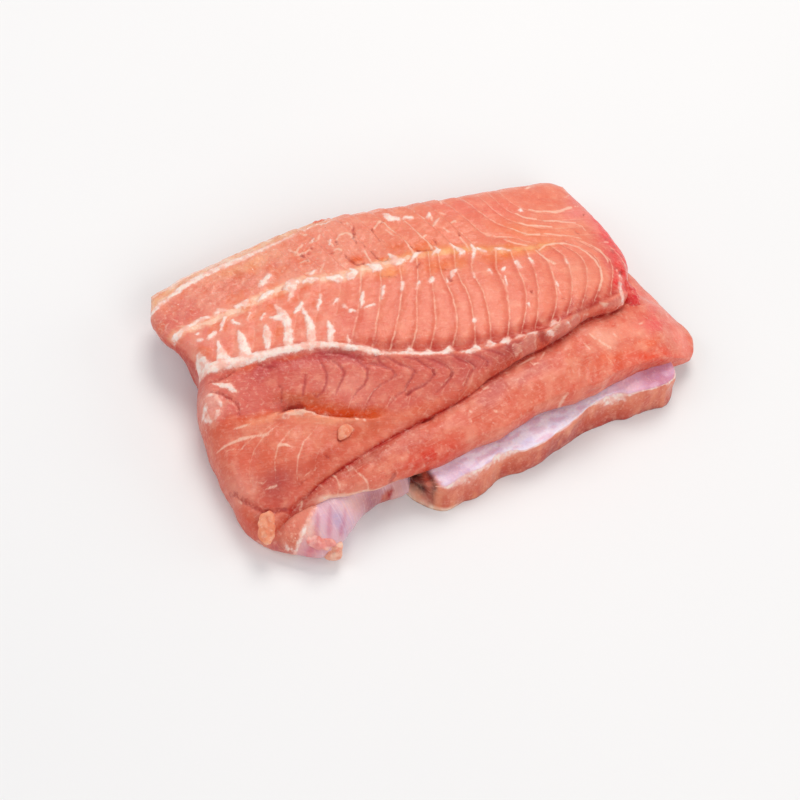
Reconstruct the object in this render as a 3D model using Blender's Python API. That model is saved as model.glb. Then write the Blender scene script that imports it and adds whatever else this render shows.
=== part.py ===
"""A raw, skinless catfish fillet lying bone side up. The thick loin is on top, the belly wall comes out
from under its front edge, and the end that is folded under shows along the front, skin side up.

The four layers are laid out on one plan in millimetres, joined into one solid and cut off level where the
fillet rests. At the end the plan's middle is moved to the origin and the millimetres become metres."""

import math

import bmesh
import bpy
import numpy as np
from mathutils import Matrix, Vector, noise

NAME = "fillet"
MM = 0.001

# The whole fillet
PLAN_MIDDLE = (13.0, -6.6)
SUNK = 3.0  # how far each layer reaches below the level it is cut off at
MYOMERE = 8.7  # one muscle block to the next, measured along the backbone's scar
CELL = 3.8  # size of a face on the smooth parts

# The loin: its outline in plan, each side listed from left to right or from front to back
LOIN_FRONT = ((-75, -71), (-69, -69.5), (-62, -65.5), (-49, -57.5), (-30, -50), (-8, -42), (10, -36.5),
              (24, -30), (42, -22.5), (58, -17.5), (73, -10), (84, -8), (92, -5))
LOIN_BACK = ((-96, 39), (-83, 46), (-66, 53), (-43, 60), (-18, 66), (15, 67), (54, 68.5), (74, 71),
             (85, 71.6), (93.2, 66.8))
LOIN_LEFT = ((-75, -71), (-80, -65), (-83, -55), (-86, -42), (-88, -28), (-88.5, -14), (-85.5, 0),
             (-90.5, 11), (-97, 19), (-98.5, 29), (-96, 39))
LOIN_RIGHT = ((92, -5), (97, 2), (102.6, 11), (106.1, 22), (104.8, 36), (98.5, 52), (93.2, 66.8))
LOIN_RIM = {"front": 4.0, "back": 13.0, "left": 7.0, "right": 14.0}

# Heights of the loin's face along its landmarks, as (place along the fillet, height)
LIP_HEIGHT = ((-84, 12), (-60, 18), (-40, 21), (-20, 23), (0, 25.5), (20, 28.5), (40, 31.5), (60, 33.5),
              (80, 32), (93, 29))
SCAR_LINE = ((-90, -3.5), (-80, -4), (-70, -4.3), (-60, -4), (-50, -4.2), (-40, -5.2), (-30, -7.8),
             (-20, -12), (-10, -15.3), (0, -17.5), (10, -19), (20, -20.3), (30, -19.8), (40, -18.3),
             (50, -17), (60, -13.5), (72, -9.5), (84, -5), (95, 1))
SCAR_HEIGHT = ((-90, 24.5), (-60, 29), (-20, 32.5), (10, 34.5), (40, 36), (60, 35.5), (80, 33.5), (95, 29))
SEAM_LINE = ((-95, 13), (-88, 17), (-80, 20), (-72, 21.5), (-62, 23), (-52, 25.5), (-42, 27.3),
             (-24, 26.3), (-8, 28), (4, 29.5), (20, 30.7), (30, 29.8), (38, 28), (47, 25.8), (56, 25),
             (66, 26.3), (76, 27.5), (88, 27), (100, 25))
SEAM_HEIGHT = ((-96, 23), (-60, 26.5), (-20, 30), (20, 32), (60, 32), (80, 30), (102, 24))
BACK_HEIGHT = ((-97, 20), (-60, 22.5), (-20, 24), (20, 25), (60, 24.5), (88, 20))
LEFT_END_LIFT = 12.0  # clear height under the loin's far left corner

# The relief of the bone side: how high or deep each form is
BLOCK_SWELL = 1.0
FAR_BLOCK_SWELL = 0.8
SCAR_RIDGE = 1.1
SEAM_BEADS = 0.9
TROUGH_DEPTH = 1.2
HOLLOW_DEPTH = 4.2
LOBE_SWELL = 2.6
END_LUMP = 1.3
END_DIP = 1.6
LOIN_SWELL = 1.2
HOLLOW_LINE = ((-72, -27), (-58, -27), (-51, -28.2), (-45, -31.5), (-36, -34.3), (-25, -36.6), (-16, -37))

# The belly wall, which lies between the loin and the folded end
BELLY_FRONT = ((-72, -70), (-62, -66.5), (-49, -63.4), (-36, -63.4), (-29, -63), (-22, -61), (-8, -59.3),
               (2, -56.8), (11, -54.3), (24, -51.9), (33, -48), (45, -44), (57, -42.7), (67, -40.1),
               (77, -35.9), (91, -32), (102, -29.8), (114, -27))
BELLY_BACK = ((-72, -52), (-60, -45), (-30, -30), (0, -18), (40, 0), (80, 14), (105, 19))
BELLY_LEFT = ((-72, -70), (-75, -62), (-72, -52))
BELLY_RIGHT = ((114, -27), (121, -25), (124.5, -18.5), (121, -5), (114.8, 8), (105, 19))
BELLY_RIM = {"front": 5.5, "back": 4.0, "left": 5.0, "right": 12.0}
BELLY_STEP = ((-80, 0.5), (-40, 1.5), (0, 3.5), (40, 6.5), (60, 8), (95, 7))
BELLY_CROWN = 2.5  # the wall's swell between the loin's lip and its own front
BELLY_FALL = ((92, 0), (104, 2.5), (114, 9), (121, 13))
BELLY_UNDER = ((-82, 2), (-60, 8), (-48, 12), (-20, 12), (95, 11.5), (112, 7), (121, 4))

# The folded end, skin side up under the belly wall
FLAP_FRONT = ((-16, -56), (-12, -62), (-6, -65.6), (-2, -66.1), (2, -65), (7.4, -62.6), (13, -61.6),
              (18.3, -59.1), (23.4, -56), (28, -56), (32.5, -57.4), (38, -56.6), (45, -54.6), (50.4, -51.6),
              (55.6, -49.3), (60, -46.8), (68, -42), (74.5, -39.7), (81, -39.2), (86, -40.9), (91, -40.8),
              (97, -39.9), (103, -38.6))
FLAP_BACK = ((-16, -28), (20, -12), (60, 6), (104, 14))
FLAP_LEFT = ((-16, -56), (-18, -46), (-16, -28))
FLAP_RIGHT = ((103, -38.6), (108.4, -35), (110.2, -27), (109, -10), (104, 14))
FLAP_RIM = {"front": 2.5, "back": 3.0, "left": 5.0, "right": 4.0}
FLAP_TOP = 14.0
# How far the folded end's cut face slopes out to its foot, as (place along the fillet, reach)
FLAP_FLARE = ((-16, 5), (-6, 5), (2, 5.9), (12, 6.8), (24, 6.2), (32, 3), (41, 2), (52, 2.3), (61, 3.8),
              (70, 6.4), (79, 6.4), (90, 3.2), (98, 3), (105, 4.8))

# The skin side where it turns down to the level it rests on at the left
SKIRT_FRONT = ((-79, -64), (-76, -70), (-69, -76), (-60, -80), (-51, -81.5), (-44, -76.5), (-36, -68.5),
               (-27, -64), (-15, -61))
SKIRT_BACK = ((-78, -48), (-60, -42), (-40, -36), (-12, -30))
SKIRT_LEFT = ((-79, -64), (-81, -56), (-78, -48))
SKIRT_RIGHT = ((-15, -61), (-10, -48), (-12, -30))
SKIRT_RIM = {"front": 15.0, "back": 3.0, "left": 6.0, "right": 4.0}
SKIRT_TOP = ((-80, 9), (-62, 14), (-48, 15.5), (-30, 14), (-15, 12))

# Small pieces that hang on the fillet: middle, half sizes and turn about the upright in degrees
SCRAPS = {
    "fat_end": ((-50.4, -80.2, 5.4), (3.9, 4.9, 5.4), 20),
    "fat_root": ((-55.2, -77.3, 10.2), (5.6, 3.3, 2.9), -12),
    "hanging_flake": ((-73.6, -69.4, 13.0), (3.1, 6.6, 2.6), -8),
    "loose_flake": ((-36.6, -40.6, 24.2), (5.4, 2.3, 1.3), 42),
    "torn_edge": ((-21.0, 62.6, 19.2), (6.0, 2.5, 2.6), 12),
    "red_tissue": ((96.0, 4.4, 20.0), (6.6, 12.0, 6.3), 20),
}
LUMPS_SEED = 1796076519  # settles the scraps' lumps, which are then the same in each build


def curve(pairs):
    """A smooth function through (place, value) pairs, level past both ends."""
    place, value = np.array(pairs, float).T
    slope = np.gradient(value, place)

    def at(where):
        where = np.clip(where, place[0], place[-1])
        i = np.clip(np.searchsorted(place, where) - 1, 0, len(place) - 2)
        span = place[i + 1] - place[i]
        t = (where - place[i]) / span
        start = (1 + 2 * t) * (1 - t) ** 2 * value[i] + t * (1 - t) ** 2 * span * slope[i]
        end = t * t * (3 - 2 * t) * value[i + 1] + t * t * (t - 1) * span * slope[i + 1]
        return start + end

    return at


def side(points):
    """A smooth line in plan through the points, from 0 at the first to 1 at the last."""
    points = np.array(points, float)
    reach = np.concatenate(((0,), np.cumsum(np.linalg.norm(np.diff(points, axis=0), axis=1))))
    reach /= reach[-1]
    across = curve(np.column_stack((reach, points[:, 0])))
    along = curve(np.column_stack((reach, points[:, 1])))
    return lambda t: np.stack((across(t), along(t)), -1)


def step(low, high, value):
    """0 below low, 1 above high, and a soft rise between."""
    t = np.clip((value - low) / (high - low), 0, 1)
    return t * t * (3 - 2 * t)


def bell(distance, width):
    """1 at no distance, fading out over the width."""
    return np.exp(-((distance / width) ** 2))


def rough(x, y, z, size, seed):
    """Soft unevenness between -1 and 1, with lumps of the given size."""
    offset = Vector((seed * 7.3, seed * 3.1, seed * 5.7))
    return np.array([noise.noise(Vector(p) / size + offset) for p in zip(x, y, z)])


lip_height = curve(LIP_HEIGHT)
scar_line = curve(SCAR_LINE)
scar_height = curve(SCAR_HEIGHT)
seam_line = curve(SEAM_LINE)
seam_height = curve(SEAM_HEIGHT)
back_line = curve(LOIN_BACK)
back_height = curve(BACK_HEIGHT)
front_line = curve(LOIN_FRONT)
belly_line = curve(BELLY_FRONT)
belly_step = curve(BELLY_STEP)
belly_fall = curve(BELLY_FALL)
belly_under = curve(BELLY_UNDER)
skirt_top = curve(SKIRT_TOP)
hollow_line = curve(HOLLOW_LINE)
flap_flare = curve(FLAP_FLARE)
no_flare = curve(((0, 0), (1, 0)))


def through(y, places, heights):
    """A smooth section across the fillet, through the heights at the places, which both change along it."""
    places = [np.broadcast_to(p, y.shape) for p in places]
    slopes = []
    for i in range(len(places)):
        low, high = max(i - 1, 0), min(i + 1, len(places) - 1)
        slopes.append((heights[high] - heights[low]) / (places[high] - places[low]))
    result = np.array(heights[0] + np.minimum(y - places[0], 0) * slopes[0])
    for i in range(len(places) - 1):
        span = places[i + 1] - places[i]
        t = np.clip((y - places[i]) / span, 0, 1)
        start = (1 + 2 * t) * (1 - t) ** 2 * heights[i] + t * (1 - t) ** 2 * span * slopes[i]
        end = t * t * (3 - 2 * t) * heights[i + 1] + t * t * (t - 1) * span * slopes[i + 1]
        result = np.where(y > places[i], start + end, result)
    return result + np.maximum(y - places[-1], 0) * slopes[-1]


def septum_count(x, y):
    """Which muscle block a point between the scar and the seam is in, counted along the scar."""
    t = np.clip((y - scar_line(x)) / (seam_line(x) - scar_line(x)), 0, 1)
    hook = curve(((0, 5), (40, 5), (60, 0), (75, -9), (85, -22), (95, -40)))(x)
    return (x - 7 * np.sin(np.pi * t) - hook * t**4 + 14) / MYOMERE


def upper_count(x, y):
    """Which muscle block a point beyond the seam is in: slanting blocks that sweep round at the right."""
    slanting = 0.74 * (x - 50) + 0.67 * (y - 38)
    sweeping = 34.6 - np.hypot((x - 75) * np.where(x > 75, 0.5, 1.0), y - 62)
    return (slanting + (sweeping - slanting) * step(35, 60, x)) / MYOMERE


def groove(count, sharpness):
    """A dip at each whole count and a swell between."""
    return np.abs(np.cos(np.pi * (count - 0.5))) ** sharpness - 0.5


def loin_relief(x, y):
    """The blocks, the hollow and the ridges of the bone side."""
    scar, seam = scar_line(x), seam_line(x)
    middle = step(0, 5, y - scar) * step(0, 5, seam - y)
    upper = step(1, 6, y - seam)
    height = BLOCK_SWELL * middle * groove(septum_count(x, y), 0.7)
    height += FAR_BLOCK_SWELL * upper * groove(upper_count(x, y), 0.8)
    height += SCAR_RIDGE * bell(y - scar, 2.5) * step(-20, -50, x)
    beads = 0.6 + 0.4 * np.sin(2 * np.pi * x / MYOMERE)
    height += SEAM_BEADS * bell(y - seam, 2.6) * beads * step(75, 60, x)
    height -= TROUGH_DEPTH * bell(y - scar + 7, 4.5) * step(40, 0, x)
    height -= HOLLOW_DEPTH * bell(y - hollow_line(x), 3.6) * step(-68, -56, x) * step(-16, -34, x)
    height += LOBE_SWELL * bell(np.hypot((x + 60) / 1.5, y + 49), 13)
    height += END_LUMP * bell(np.hypot(x + 85, y + 19), 5)
    height -= END_DIP * bell(np.hypot((x + 84) / 1.6, y + 33), 4)
    return height


def loin_top(x, y):
    places = (front_line(x), np.maximum(scar_line(x), front_line(x) + 4), seam_line(x), back_line(x))
    heights = (lip_height(x), scar_height(x), seam_height(x), back_height(x))
    swell = LOIN_SWELL * bell(np.hypot((x - 30) / 3, y - 8), 16)
    return through(y, places, heights) + swell + loin_relief(x, y)


def loin_under(x, y):
    """Sunk in the layers below, raised under the lip and clear of the level it rests on at the far left."""
    lip = (belly_top(x, y) - 3.0 + SUNK) * step(13, 4, y - front_line(x)) * step(-74, -50, x)
    end = (LEFT_END_LIFT + SUNK) * step(-66, -94, x) * step(0, 14, y)
    return -SUNK + np.maximum(lip, end)


def belly_top(x, y):
    """The wall starts under the lip, swells a little and turns over towards its front."""
    lip, front = front_line(np.minimum(x, 92)), belly_line(x)
    t = (y - front) / (lip - front + 1e-6)
    crown = BELLY_CROWN * (1 - np.clip((t - 0.6) / 0.6, -1.3, 1.3) ** 2) * step(-60, -20, x)
    folds = bell(x - 57 - 0.3 * (y + 30), 3.0) - 1.3 * bell(x - 62 - 0.3 * (y + 30), 2.2)
    folds = folds + bell(x - 67 - 0.3 * (y + 30), 3.0)
    folds = folds * step(0.9, 0.3, t)
    return lip_height(x) - belly_step(x) + crown - belly_fall(x) + folds


def flap_top(x, y):
    return FLAP_TOP + 0.5 * np.sin(x / 6.5) - 2.0 * step(-4, -17, x) + 0 * y


def flat_under(x, y):
    return -SUNK + 0 * x * y


def block(cells):
    """A unit block of cells: a cube whose edges are cut across, one direction after another."""
    bm = bmesh.new()
    bmesh.ops.create_cube(bm, size=1.0)
    for axis, count in enumerate(cells):
        edges = [e for e in bm.edges if abs(e.verts[0].co[axis] - e.verts[1].co[axis]) > 1e-6]
        bmesh.ops.subdivide_edges(bm, edges=edges, cuts=count - 1)
    return bm


def layer(name, outline, rim, top, under, depth_cells, boxiness, unevenness, flare=no_flare):
    """One layer: a block laid over its outline, between under and top, its sides rounded over the rim."""
    front, back, left, right = (side(points) for points in outline)
    middle = np.array((0.5,))
    length = np.linalg.norm(right(middle) - left(middle))
    width = np.linalg.norm(back(middle) - front(middle))
    bm = block((round(length / CELL), round(width / CELL), depth_cells))
    a, b, c = (np.array([v.co for v in bm.verts]) + 0.5).T

    turn = (c - 0.5) * math.pi
    inset = 1 - np.abs(np.cos(turn)) ** (2 / boxiness)
    rise = 0.5 + 0.5 * np.sign(np.sin(turn)) * np.abs(np.sin(turn)) ** (2 / boxiness)
    span_a = np.linalg.norm(right(b) - left(b), axis=1)
    span_b = np.linalg.norm(back(a) - front(a), axis=1)
    a = rim["left"] / span_a * inset + a * (1 - (rim["left"] + rim["right"]) / span_a * inset)
    b = rim["front"] / span_b * inset + b * (1 - (rim["front"] + rim["back"]) / span_b * inset)

    a, b = a[:, None], b[:, None]
    plan = (1 - b) * front(a[:, 0]) + b * back(a[:, 0]) + (1 - a) * left(b[:, 0]) + a * right(b[:, 0])
    plan -= (1 - a) * ((1 - b) * front(0.0) + b * back(0.0)) + a * ((1 - b) * front(1.0) + b * back(1.0))
    x, y = plan.T
    high, low = top(x, y), under(x, y)
    z = low + (high - low) * rise
    y = y - flare(x) * (1 - b[:, 0]) ** 2 * (1 - rise)
    wobble = unevenness * np.abs(np.cos(turn))
    x = x + wobble * rough(x, y, z, 9.0, 1)
    y = y + wobble * rough(x, y, z, 9.0, 2)
    z = z + unevenness * 0.4 * rough(x, y, z, 14.0, 3) * step(0.5, 0.8, rise)
    for vertex, place in zip(bm.verts, zip(x, y, z)):
        vertex.co = place
    bmesh.ops.triangulate(bm, faces=bm.faces)
    return add_mesh(name, bm)


def scrap(name, middle, half_sizes, turn):
    """A small soft lump, such as fat or a torn flake."""
    bm = bmesh.new()
    placed = Matrix.Translation(middle) @ Matrix.Rotation(math.radians(turn), 4, "Z")
    placed = placed @ Matrix.Diagonal((*half_sizes, 1.0))
    bmesh.ops.create_icosphere(bm, subdivisions=2, radius=1.0, matrix=placed)
    for vertex in bm.verts:
        vertex.co += 0.7 * noise.noise_vector(vertex.co / 5)
    return add_mesh(name, bm)


def add_mesh(name, bm):
    mesh = bpy.data.meshes.new(name)
    bm.to_mesh(mesh)
    bm.free()
    body = bpy.data.objects.new(name, mesh)
    bpy.context.scene.collection.objects.link(body)
    return body


def move_to(collection, body):
    for old in list(body.users_collection):
        old.objects.unlink(body)
    collection.objects.link(body)


def applied(body):
    """The body's mesh with its modifiers applied."""
    graph = bpy.context.evaluated_depsgraph_get()
    body.data = bpy.data.meshes.new_from_object(body.evaluated_get(graph))
    body.modifiers.clear()


def joined(body, others):
    """The others fused to the body by one union, and then removed."""
    layers = bpy.data.collections.new("layers")
    bpy.context.scene.collection.children.link(layers)
    for other in others:
        move_to(layers, other)
    union = body.modifiers.new("join", "BOOLEAN")
    union.operation = "UNION"
    union.operand_type = "COLLECTION"
    union.collection = layers
    union.solver = "EXACT"
    applied(body)
    for other in others:
        bpy.data.objects.remove(other)
    bpy.data.collections.remove(layers)


def cut_level(body, cutters):
    """Cuts off what reaches below the level it rests on, which leaves one flat face."""
    bm = bmesh.new()
    bmesh.ops.create_cube(bm, size=1.0, matrix=Matrix.Translation((0, 0, -50)) @ Matrix.Scale(100, 4))
    bmesh.ops.scale(bm, vec=(4, 4, 1), verts=bm.verts)
    cutter = add_mesh("level_cutter", bm)
    cutter.hide_render = True
    cutter.display_type = "WIRE"
    move_to(cutters, cutter)
    cut = body.modifiers.new("level", "BOOLEAN")
    cut.operation = "DIFFERENCE"
    cut.object = cutter
    cut.solver = "EXACT"
    applied(body)
    bpy.data.objects.remove(cutter)


def to_metres(body):
    """Moves the plan's middle to the origin, turns millimetres into metres and clears slivers."""
    bm = bmesh.new()
    bm.from_mesh(body.data)
    bmesh.ops.translate(bm, vec=(-PLAN_MIDDLE[0], -PLAN_MIDDLE[1], 0), verts=bm.verts)
    bmesh.ops.triangulate(bm, faces=bm.faces)
    bmesh.ops.dissolve_degenerate(bm, dist=0.02, edges=bm.edges)
    bmesh.ops.triangulate(bm, faces=bm.faces)
    bmesh.ops.scale(bm, vec=(MM, MM, MM), verts=bm.verts)
    bm.to_mesh(body.data)
    bm.free()


def raw_flesh():
    """Salmon-coloured raw flesh, wet and fairly smooth."""
    material = bpy.data.materials.new("raw_flesh")
    material.use_nodes = True
    shader = material.node_tree.nodes["Principled BSDF"]
    shader.inputs["Base Color"].default_value = (0.84, 0.28, 0.17, 1)
    shader.inputs["Roughness"].default_value = 0.35
    shader.inputs["Metallic"].default_value = 0.0
    return material


def clear_scene():
    for body in list(bpy.data.objects):
        bpy.data.objects.remove(body)


def main():
    clear_scene()
    part = bpy.data.collections.new("catfish_fillet")
    cutters = bpy.data.collections.new("cutters")
    cutters.hide_render = True
    for collection in (part, cutters):
        bpy.context.scene.collection.children.link(collection)

    loin = layer(NAME, (LOIN_FRONT, LOIN_BACK, LOIN_LEFT, LOIN_RIGHT), LOIN_RIM, loin_top, loin_under,
                 8, 2.4, 0.8)
    belly = layer("belly", (BELLY_FRONT, BELLY_BACK, BELLY_LEFT, BELLY_RIGHT), BELLY_RIM, belly_top,
                  lambda x, y: belly_under(x) + 0 * y, 6, 2.5, 0.7)
    flap = layer("flap", (FLAP_FRONT, FLAP_BACK, FLAP_LEFT, FLAP_RIGHT), FLAP_RIM, flap_top, flat_under,
                 5, 3.5, 0.8, flap_flare)
    skirt = layer("skirt", (SKIRT_FRONT, SKIRT_BACK, SKIRT_LEFT, SKIRT_RIGHT), SKIRT_RIM,
                  lambda x, y: skirt_top(x) + 0 * y, flat_under, 6, 2.0, 0.8)
    noise.seed_set(LUMPS_SEED)
    scraps = [scrap(name, *facts) for name, facts in SCRAPS.items()]
    joined(loin, [belly, flap, skirt, *scraps])
    cut_level(loin, cutters)
    to_metres(loin)
    loin.data.materials.clear()
    loin.data.materials.append(raw_flesh())
    loin.data.shade_smooth()
    move_to(part, loin)


main()
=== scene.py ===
"""A raw, skinless catfish fillet lying bone side up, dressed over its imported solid.

Its layers are laid out on one plan in millimetres, the plan of the part's source. When a layer is
shaped and coloured, it is moved by the plan's middle and turned into metres."""

import math

import bmesh
import bpy
import numpy as np
from mathutils import Matrix, Vector, noise


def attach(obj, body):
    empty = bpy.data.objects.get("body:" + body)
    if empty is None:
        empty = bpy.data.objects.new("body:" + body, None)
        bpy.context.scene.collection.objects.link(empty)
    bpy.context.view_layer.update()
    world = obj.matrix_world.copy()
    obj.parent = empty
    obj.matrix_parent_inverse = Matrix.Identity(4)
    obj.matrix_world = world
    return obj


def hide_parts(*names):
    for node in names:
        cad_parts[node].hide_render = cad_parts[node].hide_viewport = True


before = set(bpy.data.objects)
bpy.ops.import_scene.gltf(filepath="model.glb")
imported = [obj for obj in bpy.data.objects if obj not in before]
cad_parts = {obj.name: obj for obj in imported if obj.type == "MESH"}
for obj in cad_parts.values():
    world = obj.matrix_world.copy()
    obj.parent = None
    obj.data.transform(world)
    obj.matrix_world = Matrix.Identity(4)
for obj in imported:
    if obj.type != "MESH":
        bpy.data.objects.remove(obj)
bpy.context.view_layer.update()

MM = 0.001
FIT = 0.997  # keeps the fine unevenness inside the solid's box
PLAN_MIDDLE = (13.0, -6.6)
SUNK = 3.0  # how far a layer would reach below the level it rests on
OUTSIDE = -4.0  # millimetres outside a line, where it no longer counts
NODE = "fillet"

# The loin: its outline in plan, each side listed from left to right or from front to back
LOIN_FRONT = ((-75, -71), (-69, -69.5), (-62, -65.5), (-49, -57.5), (-30, -50), (-8, -42), (10, -36.5),
              (24, -30), (42, -22.5), (58, -17.5), (73, -10), (84, -8), (92, -5))
LOIN_BACK = ((-96, 39), (-83, 46), (-66, 53), (-43, 60), (-18, 66), (15, 67), (54, 68.5), (74, 71),
             (85, 71.6), (93.2, 66.8))
LOIN_LEFT = ((-75, -71), (-80, -65), (-83, -55), (-86, -42), (-88, -28), (-88.5, -14), (-85.5, 0),
             (-90.5, 11), (-97, 19), (-98.5, 29), (-96, 39))
LOIN_RIGHT = ((92, -5), (97, 2), (102.6, 11), (106.1, 22), (104.8, 36), (98.5, 52), (93.2, 66.8))
LOIN_RIM = {"front": 4.0, "back": 13.0, "left": 7.0, "right": 14.0}

# The loin's landmarks, as (place along the fillet, height) or, for a line, (place along, place across)
LIP_HEIGHT = ((-84, 12), (-60, 18), (-40, 21), (-20, 23), (0, 25.5), (20, 28.5), (40, 31.5), (60, 33.5),
              (80, 32), (93, 29))
SCAR_LINE = ((-90, -3.5), (-80, -4), (-70, -4.3), (-60, -4), (-50, -4.2), (-40, -5.2), (-30, -7.8),
             (-20, -12), (-10, -15.3), (0, -17.5), (10, -19), (20, -20.3), (30, -19.8), (40, -18.3),
             (50, -17), (60, -13.5), (72, -9.5), (84, -5), (95, 1))
SCAR_HEIGHT = ((-90, 24.5), (-60, 29), (-20, 32.5), (10, 34.5), (40, 36), (60, 35.5), (80, 33.5), (95, 29))
SEAM_LINE = ((-95, 13), (-88, 17), (-80, 20), (-72, 21.5), (-62, 23), (-52, 25.5), (-42, 27.3),
             (-24, 26.3), (-8, 28), (4, 29.5), (20, 30.7), (30, 29.8), (38, 28), (47, 25.8), (56, 25),
             (66, 26.3), (76, 27.5), (88, 27), (100, 25))
SEAM_HEIGHT = ((-96, 23), (-60, 26.5), (-20, 30), (20, 32), (60, 32), (80, 30), (102, 24))
BACK_HEIGHT = ((-97, 20), (-60, 22.5), (-20, 24), (20, 25), (60, 24.5), (88, 20))
LEFT_END_LIFT = 12.0

# The belly wall, which lies between the loin and the folded end
BELLY_FRONT = ((-72, -70), (-62, -66.5), (-49, -63.4), (-36, -63.4), (-29, -63), (-22, -61), (-8, -59.3),
               (2, -56.8), (11, -54.3), (24, -51.9), (33, -48), (45, -44), (57, -42.7), (67, -40.1),
               (77, -35.9), (91, -32), (102, -29.8), (114, -27))
BELLY_BACK = ((-72, -52), (-60, -45), (-30, -30), (0, -18), (40, 0), (80, 14), (105, 19))
BELLY_LEFT = ((-72, -70), (-75, -62), (-72, -52))
BELLY_RIGHT = ((114, -27), (121, -25), (124.5, -18.5), (121, -5), (114.8, 8), (105, 19))
BELLY_RIM = {"front": 5.5, "back": 4.0, "left": 5.0, "right": 12.0}
BELLY_STEP = ((-80, 0.5), (-40, 1.5), (0, 3.5), (40, 6.5), (60, 8), (95, 7))
BELLY_CROWN = 2.5
BELLY_FALL = ((92, 0), (104, 2.5), (114, 9), (121, 13))
BELLY_UNDER = ((-82, 2), (-60, 8), (-48, 12), (-20, 12), (95, 11.5), (112, 7), (121, 4))

# The folded end, skin side up under the belly wall
FLAP_FRONT = ((-16, -56), (-12, -62), (-6, -65.6), (-2, -66.1), (2, -65), (7.4, -62.6), (13, -61.6),
              (18.3, -59.1), (23.4, -56), (28, -56), (32.5, -57.4), (38, -56.6), (45, -54.6), (50.4, -51.6),
              (55.6, -49.3), (60, -46.8), (68, -42), (74.5, -39.7), (81, -39.2), (86, -40.9), (91, -40.8),
              (97, -39.9), (103, -38.6))
FLAP_BACK = ((-16, -28), (20, -12), (60, 6), (104, 14))
FLAP_LEFT = ((-16, -56), (-18, -46), (-16, -28))
FLAP_RIGHT = ((103, -38.6), (108.4, -35), (110.2, -27), (109, -10), (104, 14))
FLAP_RIM = {"front": 2.5, "back": 3.0, "left": 5.0, "right": 4.0}
FLAP_TOP = 14.0
# How far the folded end's cut face slopes out to its foot, as (place along the fillet, reach)
FLAP_FLARE = ((-16, 5), (-6, 5), (2, 5.9), (12, 6.8), (24, 6.2), (32, 3), (41, 2), (52, 2.3), (61, 3.8),
              (70, 6.4), (79, 6.4), (90, 3.2), (98, 3), (105, 4.8))

# The skin side where it turns down at the left
SKIRT_FRONT = ((-79, -64), (-76, -70), (-69, -76), (-60, -80), (-51, -81.5), (-44, -76.5), (-36, -68.5),
               (-27, -64), (-15, -61))
SKIRT_BACK = ((-78, -48), (-60, -42), (-40, -36), (-12, -30))
SKIRT_LEFT = ((-79, -64), (-81, -56), (-78, -48))
SKIRT_RIGHT = ((-15, -61), (-10, -48), (-12, -30))
SKIRT_RIM = {"front": 15.0, "back": 3.0, "left": 6.0, "right": 4.0}
SKIRT_TOP = ((-80, 9), (-62, 14), (-48, 15.5), (-30, 14), (-15, 12))

# Where each septum between two muscle blocks crosses the middle band: its place along the fillet at
# the scar, at a quarter, a half and three quarters of the band, and at the seam
MIDDLE_SEPTA = (
    (-100, -97, -95, -93, -91), (-90, -87, -85, -83, -81), (-82, -79, -77, -75, -73),
    (-74, -71, -69, -67, -65), (-66, -63, -61, -59, -57), (-57.5, -54.5, -52, -50, -48),
    (-50, -47, -44, -41, -39), (-42, -39, -36, -33, -30), (-35, -32, -28.5, -25, -22),
    (-27.5, -24, -20, -16.5, -13.5), (-20, -16, -12, -8, -5), (-13.5, -8.3, -3.2, 0.9, 3),
    (-5.6, 0.2, 3.4, 7.6, 11), (1.8, 7.6, 10.8, 13, 16), (10.4, 16.4, 18.3, 17.8, 20),
    (20.3, 23.4, 24.8, 24.2, 27), (26.6, 29.8, 31, 30.5, 35), (34, 38.4, 41, 41, 44),
    (39.8, 45.6, 49, 49.5, 50), (46, 51, 54.5, 56.5, 57), (53, 60, 62.8, 63.5, 62), (61, 67.5, 71, 72, 68),
    (68, 75, 79, 79, 72), (74, 82, 86.3, 85.5, 76), (84, 89, 92.5, 91.5, 82), (96, 99, 101, 101, 97),
    (120, 120, 120, 120, 120),
)
# Where the blocks under the scar start along it, and how far their edges bend to the right below it
LOWER_FEET = (-110, -78, -70, -62, -54, -46, -38, -30, -22.5, -16, -8.5, -1, 8, 19, 26.5, 33.5, 40, 47, 70)
CHEVRON = ((0, 0), (2.5, 5), (5, 9), (7.5, 10), (10, 8.5), (13, 6.5), (17.5, 1.5), (21, -2), (30, -11))
HOLLOW_LINE = ((-66, -27), (-58, -27), (-51, -28.2), (-45, -31.5), (-36, -34.3), (-25, -36.6), (-16, -37))

UPPER_EYE = (75, 62)  # what the blocks beyond the seam sweep round at the right
SLANTING_BLOCK, SWEEPING_BLOCK, LOBE_BLOCK = 7.6, 4.9, 8.0  # how wide these blocks are

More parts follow.
